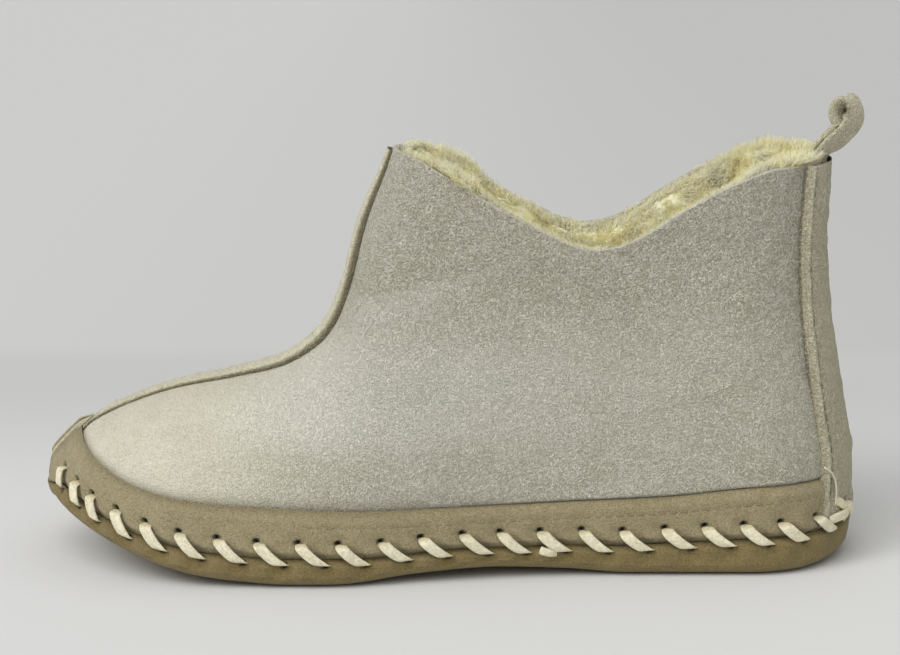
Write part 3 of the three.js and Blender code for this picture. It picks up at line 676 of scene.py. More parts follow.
@dataclass(frozen=True)
class LaceLeather:
    """Flat waxed lace: smooth, cracked along its length, soiled in its cracks."""

    name: str = "whip_lace_leather"
    colour: Colour = srgb(238, 231, 203)
    soiled: Colour = srgb(208, 196, 156)
    crack: Colour = srgb(150, 132, 98)

    def material(self) -> bpy.types.Material:
        """Makes the finish.

        Returns:
            The material.
        """
        p = Palette(self.name)
        grain = p.noise(1.6, 3.0, 0.6, 0.8)
        fine = p.noise(0.45, 2.0, 0.6)
        crack = (grain * 2 - 1).math("ABSOLUTE").step(0.0, 0.07)
        colour = p.mix(p.noise(4.5, 2.0).step(0.4, 0.8) * 0.4, self.colour, self.soiled)
        colour = p.mix((1 - crack) * 0.28, colour, self.crack)
        colour = p.mix(p.mark("edge") * 0.7, colour, self.soiled)
        height = crack * 0.07 + fine * 0.05 + grain * 0.1
        return p.finish(colour, 0.62, height, Specular_IOR_Level=0.35)


@dataclass(frozen=True)
class Thread:
    """Sewing thread."""

    name: str
    colour: Colour
    shade: Colour

    def material(self) -> bpy.types.Material:
        """Makes the finish.

        Returns:
            The material.
        """
        p = Palette(self.name)
        twist = p.noise(0.35, 1.0)
        colour = p.mix(twist, self.colour, self.shade)
        return p.finish(colour, 0.8, twist * 0.1, Specular_IOR_Level=0.25)


class Finish(Enum):
    """The finishes of the bootie."""

    PANEL = Suede("panel_suede_finish", srgb(221, 217, 195), srgb(186, 178, 149), srgb(248, 245, 230),
                  srgb(134, 125, 98))
    BAND = Suede("band_suede_finish", srgb(164, 150, 115), srgb(146, 131, 94), srgb(200, 189, 156),
                 srgb(92, 80, 52), crinkle=0.9, crinkle_depth=0.7)
    STRIP = Suede("strip_suede_finish", srgb(222, 213, 178), srgb(204, 194, 157), srgb(245, 239, 212),
                  srgb(104, 96, 72), crinkle=1.25, crinkle_depth=1.5)
    SOLE = Suede("sole_suede_finish", srgb(137, 120, 73), srgb(118, 101, 56), srgb(170, 155, 112),
                 srgb(72, 61, 36), crinkle=0.9, crinkle_depth=0.7)
    FLEECE = Fleece()
    LACE = LaceLeather()
    SEWING = Thread("sewing_thread", srgb(160, 149, 116), srgb(130, 119, 88))
    LOOSE = Thread("loose_thread", srgb(232, 226, 206), srgb(206, 198, 172))


MATERIALS: dict[str, bpy.types.Material] = {}


def material_of(finish: Finish) -> bpy.types.Material:
    """The material of a finish, made once."""
    if finish.name not in MATERIALS:
        MATERIALS[finish.name] = finish.value.material()
    return MATERIALS[finish.name]


def form_origin() -> Array:
    """Where the form's toe point on the ground lies in the frame, in metres."""
    loop_low, loop_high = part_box("pull_loop")
    upper_low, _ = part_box("upper")
    return np.array([upper_low.x, (loop_low.y + loop_high.y) / 2, 0.0])


ORIGIN = form_origin()


@dataclass
class Piece:
    """Collects the surfaces of one piece in millimetres of the form, and makes its object."""

    name: str
    slot: str
    finish: Finish
    replaces: tuple[str, ...] = ()
    points: list[Array] = field(default_factory=list)
    faces: list[Array] = field(default_factory=list)
    marks: list[dict[str, Array]] = field(default_factory=list)
    count: int = 0

    def grid(self, points: Array, endless: bool = False, flip: bool = False, **marks: Array | float) -> None:
        """Adds a surface of rows and columns.

        Args:
            points: Points as rows by columns.
            endless: Whether the last column joins the first.
            flip: Whether the surface faces the other way.
            marks: Numbers that the points carry.
        """
        rows, columns = points.shape[:2]
        index = np.arange(rows * columns).reshape(rows, columns) + self.count
        if endless:
            index = np.concatenate([index, index[:, :1]], axis=1)
        corners = [index[:-1, :-1], index[1:, :-1], index[1:, 1:], index[:-1, 1:]]
        quads = np.stack(corners[::-1] if flip else corners, axis=-1).reshape(-1, 4)
        self.add(points.reshape(-1, 3), quads, **{k: np.broadcast_to(v, (rows, columns)) for k, v in marks.items()})

    def add(self, points: Array, quads: Array, **marks: Array) -> None:
        """Adds points and faces.

        Args:
            points: The points.
            quads: Corners of the faces, counted from the piece's first point.
            marks: Numbers that the points carry.
        """
        self.points.append(points)
        self.faces.append(quads)
        self.marks.append({k: np.asarray(v, float).reshape(-1) for k, v in marks.items()})
        self.count += len(points)

    def ribbons(self, lines: Array, across: Array, width: Array, **marks: Array | float) -> None:
        """Adds thin flat strands.

        Args:
            lines: Points as strands by steps.
            across: Direction of each strand's width.
            width: Width at each step.
            marks: Numbers that the strands carry, as strands by steps.
        """
        strands, steps = lines.shape[:2]
        half = across[:, None, :] * (np.broadcast_to(width, (strands, steps)) / 2)[..., None]
        both = np.stack([lines - half, lines + half], axis=2)
        index = np.arange(strands * steps * 2).reshape(strands, steps, 2) + self.count
        quads = np.stack([index[:, :-1, 0], index[:, :-1, 1], index[:, 1:, 1], index[:, 1:, 0]], axis=-1)
        spread = {k: np.repeat(np.broadcast_to(v, (strands, steps))[..., None], 2, axis=2) for k, v in marks.items()}
        self.add(both.reshape(-1, 3), quads.reshape(-1, 4), **spread)

    def tube(self, line: Array, radius: Array | float, sides: int = 8, flat: Array | float = 1.0,
             out: Array | None = None, **marks: Array | float) -> None:
        """Adds a round or flattened strand with closed ends.

        Args:
            line: Points of its middle line.
            radius: Half its width at each point.
            sides: Corners of its section.
            flat: Its thickness as a share of its width.
            out: Direction of its thickness at each point.
            marks: Numbers that it carries at each point.
        """
        steps = len(line)
        tangent = unit(np.gradient(line, axis=0))
        guide = np.broadcast_to(np.array([0.0, 0.0, 1.0]) if out is None else out, line.shape)
        across = unit(np.cross(tangent, guide))
        over = unit(np.cross(across, tangent))
        radius = np.broadcast_to(radius, (steps,)).copy()
        wide, thick = squarish(np.arange(sides) * 2 * math.pi / sides, 0.7, 0.7)
        thickness = radius * np.broadcast_to(flat, (steps,))
        ring = (line[:, None] + across[:, None] * (radius[:, None] * wide)[..., None]
                + over[:, None] * (thickness[:, None] * thick)[..., None])
        ends = [np.repeat(line[:1, None], sides, axis=1), ring, np.repeat(line[-1:, None], sides, axis=1)]
        carried = {}
        for k, v in marks.items():
            column = np.broadcast_to(v, (steps,))
            carried[k] = np.concatenate([column[:1], column, column[-1:]])[:, None]
        self.grid(np.concatenate(ends), endless=True, flip=True, **carried)

    def make(self) -> None:
        """Makes the object, dresses it and hands it to the frame."""
        points = np.concatenate(self.points) * MM + ORIGIN
        faces = np.concatenate(self.faces)
        mesh = bpy.data.meshes.new(self.name)
        mesh.from_pydata(points.tolist(), [], faces.tolist())
        names = {name for part in self.marks for name in part}
        for name in sorted(names):
            values = [part.get(name, np.zeros(len(at))) for part, at in zip(self.marks, self.points)]
            layer = mesh.attributes.new(name, "FLOAT", "POINT")
            layer.data.foreach_set("value", np.concatenate(values).astype(np.float32))
        mesh.validate()
        mesh.shade_smooth()
        mesh.materials.append(material_of(self.finish))
        obj = bpy.data.objects.new(self.name, mesh)
        bpy.context.scene.collection.objects.link(obj)
        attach(obj, "root")
        if self.replaces:
            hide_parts(*self.replaces)
        LOG.info("%s: %d faces", self.name, len(faces))


@dataclass(frozen=True)
class Lacing:
    """Where the whip lace goes through the leather, and how it pulls at it. Lengths in millimetres."""

    outer_holes: tuple[float, ...] = (6.2, 11.4, 16.8, 25.2, 34.7, 45.4, 57.3, 69.7, 82.6, 95.0, 108.1, 120.6,
                                      133.5, 145.5, 158.2, 171.6, 184.6, 198.0, 210.7, 223.0, 234.7, 246.0, 256.5)
    pitch: float = 12.6
    toe_gap: float = 15.0
    above: float = 3.9
    below: float = 3.3
    crease: float = -1.5
    run: Curve = Curve((0, -2.4), (0.02, -1.6), (0.04, 0.6), (0.065, 2.8), (0.1, 5.2), (0.14, 6.6), (0.2, 7.8),
                       (0.27, 8.5), (1, 8.5))
    hole: float = 1.0

    def upper_holes(self) -> Array:
        """Places of the holes over the seam, right round the foot.

        Returns:
            Places along the seam.
        """
        outer = PATH.of(np.array(self.outer_holes) / FORM.length, OUTER)
        left = PATH.total - outer[-1] + outer[0] - self.toe_gap
        count = round(left / self.pitch)
        spread = np.random.default_rng(5).uniform(-0.4, 0.4, count - 1)
        inner = outer[-1] + (np.arange(1, count) + spread / self.pitch) * left / count
        return np.concatenate([outer, inner])

    def lower_holes(self) -> Array:
        """Places of the holes under the seam, one for each upper hole."""
        places = self.upper_holes()
        return places + self.run(PATH.at(places)[0])

    def apart(self, place: Array, other: Array) -> Array:
        """Distance along the closed path from other places."""
        gap = place[..., None] - other
        return gap - PATH.total * np.round(gap / PATH.total)

    def work(self, place: Array, height: Array, holes: Array, at: float) -> tuple[Array, Array]:
        """How the lace has worked the leather.

        Args:
            place: Places along the seam.
            height: Heights over the seam.
            holes: Places of the holes.
            at: Height of the holes over the seam.

        Returns:
            Millimetres outwards, and how much of a dark hole there is.
        """
        gap = self.apart(place, holes)
        away = np.sqrt((gap / 1.25) ** 2 + (height[..., None] - at) ** 2).min(axis=-1)
        # Painted shade inside the hole, as a dark mark.
        hole = 1 - smooth(away, self.hole * 0.62, self.hole * 1.15)
        pull = bump(away, 2.6)
        start, end = self.upper_holes(), self.lower_holes()
        way = np.clip((self.above - height) / (self.above + self.below), 0, 1)[..., None]
        bar = np.abs(self.apart(place, start) - way * (end - start)).min(axis=-1)
        near = bump(height - self.crease, 6.5)
        puff = (smooth(bar, 1.4, 5.5) - 0.45) * 1.2 * near
        return puff - pull * 0.45 - hole * 1.3, hole


LACING = Lacing()


@dataclass(frozen=True)
class Fold:
    """One soft trough or ridge across the side of the upper, in millimetres of the side view."""

    start: tuple[float, float]
    end: tuple[float, float]
    bend: float
    width: float
    height: float
    side: int = OUTER

    def relief(self, x: Array, z: Array, side: Array) -> Array:
        """Height of the fold at points.

        Args:
            x: Places along the foot.
            z: Heights.
            side: Side of the foot at each point.

        Returns:
            Millimetres outwards.
        """
        start, end = np.array(self.start), np.array(self.end)
        across = np.array([start[1] - end[1], end[0] - start[0]]) / np.linalg.norm(end - start)
        away = np.full(x.shape, 1e3)
        nearest = np.zeros(x.shape)
        for way in np.linspace(0, 1, 25):
            at = blend(start, end, way) + across * self.bend * 4 * way * (1 - way)
            gap = np.hypot(x - at[0], z - at[1])
            nearest = np.where(gap < away, way, nearest)
            away = np.minimum(away, gap)
        fade = smooth(nearest, -0.02, 0.3) * (1 - smooth(nearest, 0.7, 1.02))
        return self.height * bump(away, self.width) * fade * (side == self.side)


@dataclass
class Panel:
    """One side panel, with its worn relief, folds and cut collar edge."""

    name: str
    side: int
    form: BootieForm = FORM
    rows: int = 224
    tuck: float = 5.0
    folds: tuple[Fold, ...] = (
        Fold((97, 87), (134, 96), 0.6, 2.4, -1.3),
        Fold((100, 90.5), (130, 99), 0.8, 1.8, -0.5),
        Fold((98, 80), (140, 89), 1.5, 8.0, 1.5),
        Fold((146, 97), (168, 84), -1, 2.4, -0.5),
        Fold((156, 102), (182, 86), -1, 2.4, -0.5),
        Fold((150, 88), (162, 78), 1, 2.0, -0.4),
        Fold((170, 92), (190, 76), 1.5, 3.0, -0.45),
        Fold((126, 108), (138, 103), 0.5, 2.0, -0.4),
        Fold((118, 118), (128, 70), -4, 9.0, -0.8),
        Fold((196, 90.5), (236, 90), 1.2, 2.2, -0.45),
        Fold((150, 60), (215, 48), -3, 12.0, 0.7),
        Fold((205, 118), (232, 60), 5, 10.0, -0.7),
        Fold((92, 64), (112, 36), 4, 9.0, -0.7),
        Fold((60, 50), (88, 36), 3, 9.0, 0.6),
        Fold((99, 88), (140, 99), 3, 7.0, -1.1, INNER),
        Fold((120, 112), (132, 66), -4, 9.0, -0.9, INNER),
        Fold((150, 62), (220, 50), -3, 12.0, 0.8, INNER),
        Fold((205, 112), (228, 60), 5, 10.0, -0.8, INNER),
    )
    stains: tuple[tuple[float, float, float, float, float], ...] = (  # depth, x, width, z, height
        (0.55, 221.5, 4.5, 86, 3.2), (0.3, 214, 13, 90.3, 1.2), (0.25, 229, 12, 33, 5))
    broad: SoftNoise = field(default_factory=lambda: SoftNoise(3))
    small: SoftNoise = field(default_factory=lambda: SoftNoise(4))

    def shares(self) -> Array:
        """Shares of the length of the columns, closer together round toe and heel.

        Returns:
            The shares, from toe to heel.
        """
        form = self.form
        parts = [
            form.toe_round * (1 - np.cos(np.linspace(0.2, 1, 70, endpoint=False) * math.pi / 2)),
            np.linspace(form.toe_round, form.instep_at, 56, endpoint=False),
            np.linspace(form.instep_at, form.peak_at, 40, endpoint=False),
            form.peak_at + (1 - form.heel_round - form.peak_at) * np.linspace(0, 1, 150, endpoint=False) ** 1.2,
            1 - form.heel_round + form.heel_round * np.sin(np.linspace(0, 1, 40) * math.pi / 2),
        ]
        return np.concatenate(parts)

    def crinkled(self, x: Array, z: Array) -> Array:
        """How crinkled the suede is: smooth over the toe, strong at the collar and the heel."""
        return np.clip(0.1 + 0.75 * smooth(x, 35, 125) + 0.15 * smooth(z, 70, 110), 0, 1)

    def crest(self, points: Array, size: float) -> Array:
        """Short winding crests of the crinkled suede, from 0 between them to 1 on top."""
        return 1 - np.minimum(np.abs(self.small(points, size)) * 2.6, 1)

    def relief(self, points: Array, side: Array) -> Array:
        """Height of the worn surface over the form.

        Args:
            points: Points of the form.
            side: Side of the foot at each point.

        Returns:
            Millimetres outwards.
        """
        x, z = points[..., 0], points[..., 2]
        rough = self.crinkled(x, z)
        height = 0.7 * self.broad(points, 34) + 0.35 * self.broad(points, 13)
        crests = 0.2 * self.crest(points, 2.4) + 0.14 * self.crest(points, 1.5)
        height += rough * (0.2 * self.small(points, 4.6) + crests)
        for fold in self.folds:
            height += fold.relief(x, z, side)
        return height

    def build(self) -> None:
        """Builds the panel."""
        form, side = self.form, self.side
        piece = Piece(self.name, "panel_suede", Finish.PANEL, ("upper",))
        u = self.shares()
        low = np.where(u < form.ridge_at, form.crown(u), np.minimum(form.rand(u), form.crown(u))) - self.tuck
        tall = (form.top(u) - low)[:, None]
        z = form.levels(u, low, form.top(u), self.rows)
        way = (z - low[:, None]) / tall
        at_peak = way[np.argmin(np.abs(u - form.peak_at))]
        behind = smooth(u, form.peak_at, form.peak_at + 0.2)[:, None]
        z = np.where(u[:, None] > form.peak_at, low[:, None] + tall * blend(at_peak, way, behind), z)
        base = form.point(u[:, None], z, side)
        over = z - low[:, None] - self.tuck
        hold = smooth(over, 0, 6) * smooth(form.top(u)[:, None] - z, -1, 5)
        at_toe = 1 - smooth(base[..., 0], 90, 160)
        puff = blend(smooth(over, -0.2, 0.9), smooth(over, -0.5, 4.5), at_toe) * 1.15 * (1 - smooth(over, 6, 36))
        beside = np.where(u[:, None] < form.peak_at, smooth(np.abs(base[..., 1]), 3.0, 8.5), 1)
        height = self.relief(base, np.full(z.shape, side)) * hold * (0.3 + 0.7 * beside) + puff * beside
        skin = form.point(u[:, None], z, side, height)
        rough = self.crinkled(base[..., 0], base[..., 2])
        # The edge mark paints shade in the seam line where the panel meets the rand, wider and softer round the toe,
        # where it is partly dirt.
        edge = 0.95 * (1 - smooth(over, -0.1, 0.75)) * (1 - at_toe) + 0.7 * (1 - smooth(over, -0.5, 2.8)) * at_toe
        piece.grid(skin.transpose(1, 0, 2), flip=side == INNER, tone=self.tone(base, over, side).T, crinkle=rough.T,
                   edge=edge.T)
        self.rim(piece, u, side, skin[:, -1])
        piece.make()

    def tone(self, base: Array, over: Array, side: int) -> Array:
        """How pale (above 0) or dark (below 0) the suede is, with painted highlight and painted shade at the ankle
        fold.

        Args:
            base: Points of the form.
            over: Heights over the band's top edge.
            side: OUTER or INNER.

        Returns:
            Numbers from -1 to 1.
        """
        x, z = base[..., 0], base[..., 2]
        tone = 0.05 * (1 - smooth(x, 50, 130)) * smooth(z, 30, 46)
        beyond = z - 87.8 - 0.235 * (x - 100)
        ankle = blend(smooth(z, 66, 100), smooth(beyond, -1.5, 2.5), 1 - smooth(x, 118, 160))
        tone = tone - 0.75 * ankle
        tone += 1.1 * bump(base[..., 1], 15) * smooth(z, 90, 106) * (1 - smooth(x, 112, 126))
        tone -= 0.3 * smooth(x, 185, 235) * (1 - smooth(z, 62, 98))
        tone -= 0.25 * (1 - smooth(over, 2, 12)) * smooth(x, 90, 150) + 0.3 * (1 - smooth(over, 0.5, 4))
        tone += 0.7 * smooth(x, 40, 90) * (1 - smooth(x, 130, 215)) * smooth(z, 34, 50) * (1 - smooth(z, 66, 88))
        tone += 0.3 * self.broad(base, 30) * smooth(over, 0, 8)
        # Painted highlight on the bulge below the ankle fold, and painted shade along the fold's crease and a second
        # crease just above it.
        fold = z - 87.3 - 0.24 * (x - 98)
        painted_fold_light = smooth(x, 96, 101) * (1 - smooth(x, 124, 140))
        tone += 0.5 * bump(fold + 6, 5) * painted_fold_light
        tone -= (0.9 * bump(fold, 0.8) + 0.6 * bump(fold - 3.2, 0.7)) * painted_fold_light
        for depth, at_x, wide, at_z, high in self.stains if side == OUTER else ():
            tone -= depth * np.exp(-(((x - at_x) / wide) ** 2 + ((z - at_z) / high) ** 2))
        return np.clip(tone, -1, 1)

    def rim(self, piece: Piece, u: Array, side: int, edge: Array) -> None:
        """Adds the cut edge of the hide round the collar.

        Args:
            piece: The piece that it belongs to.
            u: Shares of the length of the columns.
            side: Side of the foot.
            edge: The last points of the outer face.
        """
        form = self.form
        at = u >= form.peak_at
        share, top = u[at], form.top(u[at])
        rows = [edge[at]]
        for inward, over in ((0.3, 0.3), (1.1, 0.45), (1.8, 0.3), (2.2, -0.4), (2.2, -4.0)):
            section = form.point(share, top, side, -inward)
            section[:, 2] += over + 0.12 * self.small(section, 2.0)
            rows.append(section)
        # The cut rim's own pale colour, with painted highlight over its top and painted shade where it turns down
        # inside.
        pale = np.array([0.1, 0.4, 0.45, 0.3, 0.0, -0.2])[:, None]
        piece.grid(np.stack(rows), flip=side == INNER, tone=pale, crinkle=0.5)


@dataclass
class Rand:
    """The band over the lower edge of the upper, pulled in where the lace goes through."""

    form: BootieForm = FORM
    columns: int = 880
    rows: int = 36
    thickness: float = 2.2
    topstitch: float = 5.0
    noise: SoftNoise = field(default_factory=lambda: SoftNoise(7))

    def reach(self, u: Array) -> Array:
        """Height of the band over the seam."""
        form = self.form
        top = np.where(u <= form.ridge_at, form.crown(u), np.minimum(form.rand(u), form.crown(u)))
        return top - form.seam(u)

    def offset(self, place: Array, height: Array, reach: Array, u: Array) -> tuple[Array, Array]:
        """How far the face stands off the form.

        Args:
            place: Places along the seam.
            height: Heights over the seam.
            reach: Height of the band there.
            u: Shares of the length.

        Returns:
            Millimetres outwards, and how much of a dark hole there is.
        """
        worked, hole = LACING.work(place, height, LACING.upper_holes(), LACING.above)
        foot = smooth(height, LACING.crease - 0.1, LACING.crease + 2.6)
        foot = 1 - (1 - foot) * smooth(u, 0.004, 0.045)
        left = reach - height
        flush = 0.5 * smooth(left, -0.1, 0.5) + 0.5 * smooth(left, 0.2, 3.0)
        soft = 0.12 + 0.88 * smooth(left, -0.3, 4.5)
        head = blend(soft, flush, smooth(u, 0.3, 0.6))
        head = blend(head, 1, smooth(-u, -0.04, -0.03))
        groove = 0.16 * bump(left - self.topstitch, 0.6)
        under_strip = smooth(u, self.form.heel_at(50.0), self.form.heel_at(47.0))
        full = self.thickness - under_strip * 1.5
        return 0.3 + (full - 0.3) * foot * head + worked * foot * (1 - under_strip) - groove, hole

    def build(self) -> None:
        """Builds the band."""
        form = self.form
        piece = Piece("rand_band", "band_suede", Finish.BAND, ("rand",))
        place = np.linspace(0, PATH.total, self.columns, endpoint=False)
        u, side = PATH.at(place)
        reach = self.reach(u)
        way = np.linspace(0, 1, self.rows)[:, None]
        height = LACING.crease + (reach - LACING.crease) * way
        z = form.seam(u) + height
        offset, hole = self.offset(np.broadcast_to(place, z.shape), height, reach, u)
        base = form.point(u, z, side)
        offset = offset + (0.3 * self.noise(base, 9) + 0.14 * self.noise(base, 3)) * smooth(reach - height, 0, 3)
        skin = form.point(np.broadcast_to(u, z.shape), z, side, offset)
        above = height - LACING.crease
        # Painted shade in the crease along the rand's foot; the darkening towards its top edge is partly dirt and
        # partly painted shade in the groove against the panel.
        tone = 0.35 * self.noise(base, 16) - 0.7 * bump(above, 1.1) - 0.15
        tone -= 0.3 * (1 - smooth(reach - height, 0, 2.2))
        aside = smooth(base[..., 0], 60, 150)
        left = reach - height
        # The edge mark paints shade along the seam line at the top edge and in the crease at the foot.
        edge = 0.5 * (1 - smooth(left, 0.0, 0.7)) * aside + 0.4 * (1 - smooth(left, 0, 3)) * (1 - aside)
        edge += 0.6 * (1 - smooth(above, 0.0, 0.9))
        piece.grid(skin, endless=True, tone=np.clip(tone, -1, 1), crinkle=0.35, edge=edge, hole=hole)
        piece.make()


def level_point(u: Array, up: Array, side: Array, offset: Array) -> Array:
    """Points beside the form over the ground, moved outwards level with the ground.

    Args:
        u: Shares of the length.
        up: Heights over the ground side.
        side: Sides of the foot.
        offset: Millimetres outwards.

    Returns:
        One point for each set of values.
    """
    ground = FORM.ground(u)
    height = ground + np.maximum(up, 3.0)
    base = FORM.point(u, height, side)
    facing = FORM.normal(base[..., 0], base[..., 1], base[..., 2], side)
    facing[..., 2] = 0
    point = base + unit(facing) * np.asarray(offset)[..., None]
    point[..., 1] = np.where(side * point[..., 1] < 0, 0, point[..., 1])
    point[..., 2] = ground + up
    return point


@dataclass
class Sole:
    """The soft sole: a flat under the foot, whose edge turns up to the seam."""

    form: BootieForm = FORM
    columns: int = 880
    rows: int = 22
    skin: float = 2.3
    # The corner's tone paints shade under the sole, darkest where its edge curves under towards the floor.
    corner: tuple[tuple[float, float, float], ...] = (  # offset, height over the ground, tone
        (-8, 0, -0.3), (-4.6, 0.03, -0.3), (-2.8, 0.2, -0.4), (-1.3, 0.55, -0.4), (-0.1, 1.05, -0.2), (0.9, 1.75, 0.0),
        (1.6, 2.6, -0.05), (2.1, 3.6, -0.2))
    noise: SoftNoise = field(default_factory=lambda: SoftNoise(9))

    def build(self) -> None:
        """Builds the sole."""
        form = self.form
        piece = Piece("soft_sole", "sole_suede", Finish.SOLE, ("sole",))
        place = np.linspace(0, PATH.total, self.columns, endpoint=False)
        u, side = PATH.at(place)
        wall = form.seam(u) - form.ground(u) + LACING.crease - 0.1
        flat = np.ones(u.shape)
        rows, tones, edges, holes = [], [], [], []
        for offset, up, tone in self.corner:
            rows.append(level_point(u, up * flat, side, offset * flat))
            tones.append(tone * flat)
            edges.append(0 * flat)
            holes.append(0 * flat)
        for way in np.linspace(0, 1, self.rows)[1:]:
            up = blend(self.corner[-1][1], wall, way)
            height = form.ground(u) + up - form.seam(u)
            under = LACING.crease - height
            worked, hole = LACING.work(place, height, LACING.lower_holes(), -LACING.below)
            close = 1 - (1 - smooth(under, -0.1, 2.0)) * smooth(u, 0.004, 0.045)
            base = level_point(u, up, side, self.skin * flat)
            soft = 0.35 * self.noise(base, 10) + 0.12 * self.noise(base, 3)
            belly = 0.5 * math.sin(math.pi * way)
            offset = 0.4 + (self.skin - 0.4) * close + worked * close + (soft + belly) * way * close
            rows.append(level_point(u, up, side, offset))
            # Painted shade in the crease under the lace, and the raw colour of the sole's cut edge there.
            tones.append(np.clip(0.3 * self.noise(base, 18) - 0.1 - 0.6 * bump(under, 1.0), -1, 1))
            edges.append(0.6 * (1 - smooth(under, 0.0, 0.9)))
            holes.append(hole)
        piece.grid(np.stack(rows), endless=True, tone=np.stack(tones), crinkle=0.3, edge=np.stack(edges),
                   hole=np.stack(holes))
        under = []
        for share in (1, 0.75, 0.5, 0.25, 0):
            row = rows[0] * np.array([1, share, 1])
            under.append(row + np.array([0, 0, 0.25 * (1 - share)]))
        # The underside is painted darker, as shade.
        piece.grid(np.stack(under), endless=True, flip=True, tone=-0.2, crinkle=0.3)
        piece.make()


def beside_crown(u: Array, across: Array, offset: Array) -> Array:
    """Points beside the middle line of vamp and throat.

    Args:
        u: Shares of the length.
        across: Distance from the middle line, negative on the outer side.
        offset: Millimetres off the form.

    Returns:
        One point for each set of values.
    """
    u, across, offset = np.broadcast_arrays(*(np.asarray(v, float) for v in (u, across, offset)))
    side = np.where(across < 0, OUTER, INNER)
    x, z = u * FORM.length, FORM.crown(u)
    inward = -FORM.normal(x, np.zeros(u.shape), z, side)
    near, far = np.zeros(u.shape), np.abs(across).copy()
    for _ in range(22):
        middle = (near + far) / 2
        px, pz = x + inward[..., 0] * middle, z + inward[..., 2] * middle
        short = FORM.half_squared(FORM.share(px, pz), pz, side) < across**2
        near, far = np.where(short, middle, near), np.where(short, far, middle)
    px, pz = x + inward[..., 0] * far, z + inward[..., 2] * far
    facing = FORM.normal(px, across, pz, side)
    return np.stack([px, across, pz], axis=-1) + facing * offset[..., None]


@dataclass
class CentreStrip:
    """The narrow strip over the front seam, with raw cut edges, and the sewn ridge over the toe."""

    form: BootieForm = FORM
    width: float = 9.6
    thickness: float = 1.9
    start: float = 0.0345
    steps: int = 240
    noise: SoftNoise = field(default_factory=lambda: SoftNoise(12))
    spread: Curve = Curve((0.03, 0.5), (0.09, 0.85), (0.2, 1.1), (0.3, 1.25), (0.35, 1.25), (0.39, 1.05), (0.43, 0.7))
    body: Curve = Curve((0.03, 0.5), (0.1, 0.55), (0.2, 0.65), (0.3, 1.05), (0.34, 1.35), (0.38, 1.3), (0.43, 0.75))

    def half(self, u: Array) -> Array:
        """Half the strip's width at a share of the length."""
        return self.width / 2 * self.spread(u)

    def flat(self, u: Array, across: float, offset: float) -> Array:
        """Where a line of the strip lies before it is bent over the foot, to read the noise at."""
        return np.stack([u * self.form.length, np.full(u.shape, across), np.full(u.shape, offset)], axis=-1)

    def build(self) -> None:
        """Builds the strip."""
        piece = Piece("centre_strip_suede", "band_suede", Finish.STRIP, ("centre_strip",))
        u = self.start + (self.form.peak_at - 0.001 - self.start) * np.linspace(0, 1, self.steps) ** 1.1
        start = smooth(u, self.start, self.start + 0.003)
        half = self.half(u)
        top = 0.25 + self.thickness
        thin = self.body(u)
        profile = [(1.0, 0.0, 1.0), (1.03, 0.5, 1.0), (1.03, 1.0, 1.0), (0.99, 1.4, 0.6), (0.9, top - 0.15, 0.0),
                   (0.6, top + 0.15, 0.0), (0.25, top + 0.3, 0.0)]
        section = [(-a, b, c) for a, b, c in profile] + [(a, b, c) for a, b, c in reversed(profile)]
        rows, edges = [], []
        for out, offset, raw in section:
            line = self.flat(u, out * 3, offset)
            wander = 0.3 * self.noise(line, 5) * abs(out) + 0.15 * self.noise(line, 1.6) * raw
            lift = (offset * thin + 0.12 * self.noise(line, 3)) * start
            rows.append(beside_crown(u, out * half + wander * np.sign(out), lift))
            edges.append(np.full(u.shape, raw))
        # The cut walls are darker: their raw colour, with painted shade in the gap against the panel.
        tone = np.where(np.stack(edges) > 0.5, -0.4, 1.0)
        piece.grid(np.stack(rows), flip=True, tone=tone, crinkle=0.4, edge=np.stack(edges))
        piece.make()

    def ridge(self) -> None:
        """Builds the sewn ridge: two lips with a row of stitches between them."""
        piece = Piece("toe_ridge_lips", "band_suede", Finish.STRIP, ("toe_ridge",))
        u = np.linspace(0.0006, 0.05, 90)
        section = [(-2.5, 1.2), (-2.45, 2.2), (-2.1, 2.75), (-1.5, 2.9), (-1.0, 2.65), (-0.85, 2.1), (-0.2, 1.9),
                   (0.2, 2.2), (0.4, 3.0), (0.75, 3.55), (1.3, 3.6), (1.8, 3.2), (2.1, 2.4), (2.15, 1.2)]
        rows, edges = [], []
        end = smooth(u, 0.0004, 0.003)
        for across, offset in section:
            line = self.flat(u, across, offset)
            lift = blend(offset + 0.15 * self.noise(line, 2.0), 1.6, smooth(u, 0.036, 0.05))
            rows.append(beside_crown(u, across + 0.15 * self.noise(line, 4), 1.0 + (lift - 1.0) * end))
            # The valley between the lips takes the raw colour as painted shade.
            edges.append(np.full(u.shape, 1.0 if -0.9 < across < 0.6 else 0.1))
        piece.grid(np.stack(rows), flip=True, tone=0.1, crinkle=0.3, edge=np.stack(edges))
        piece.make()


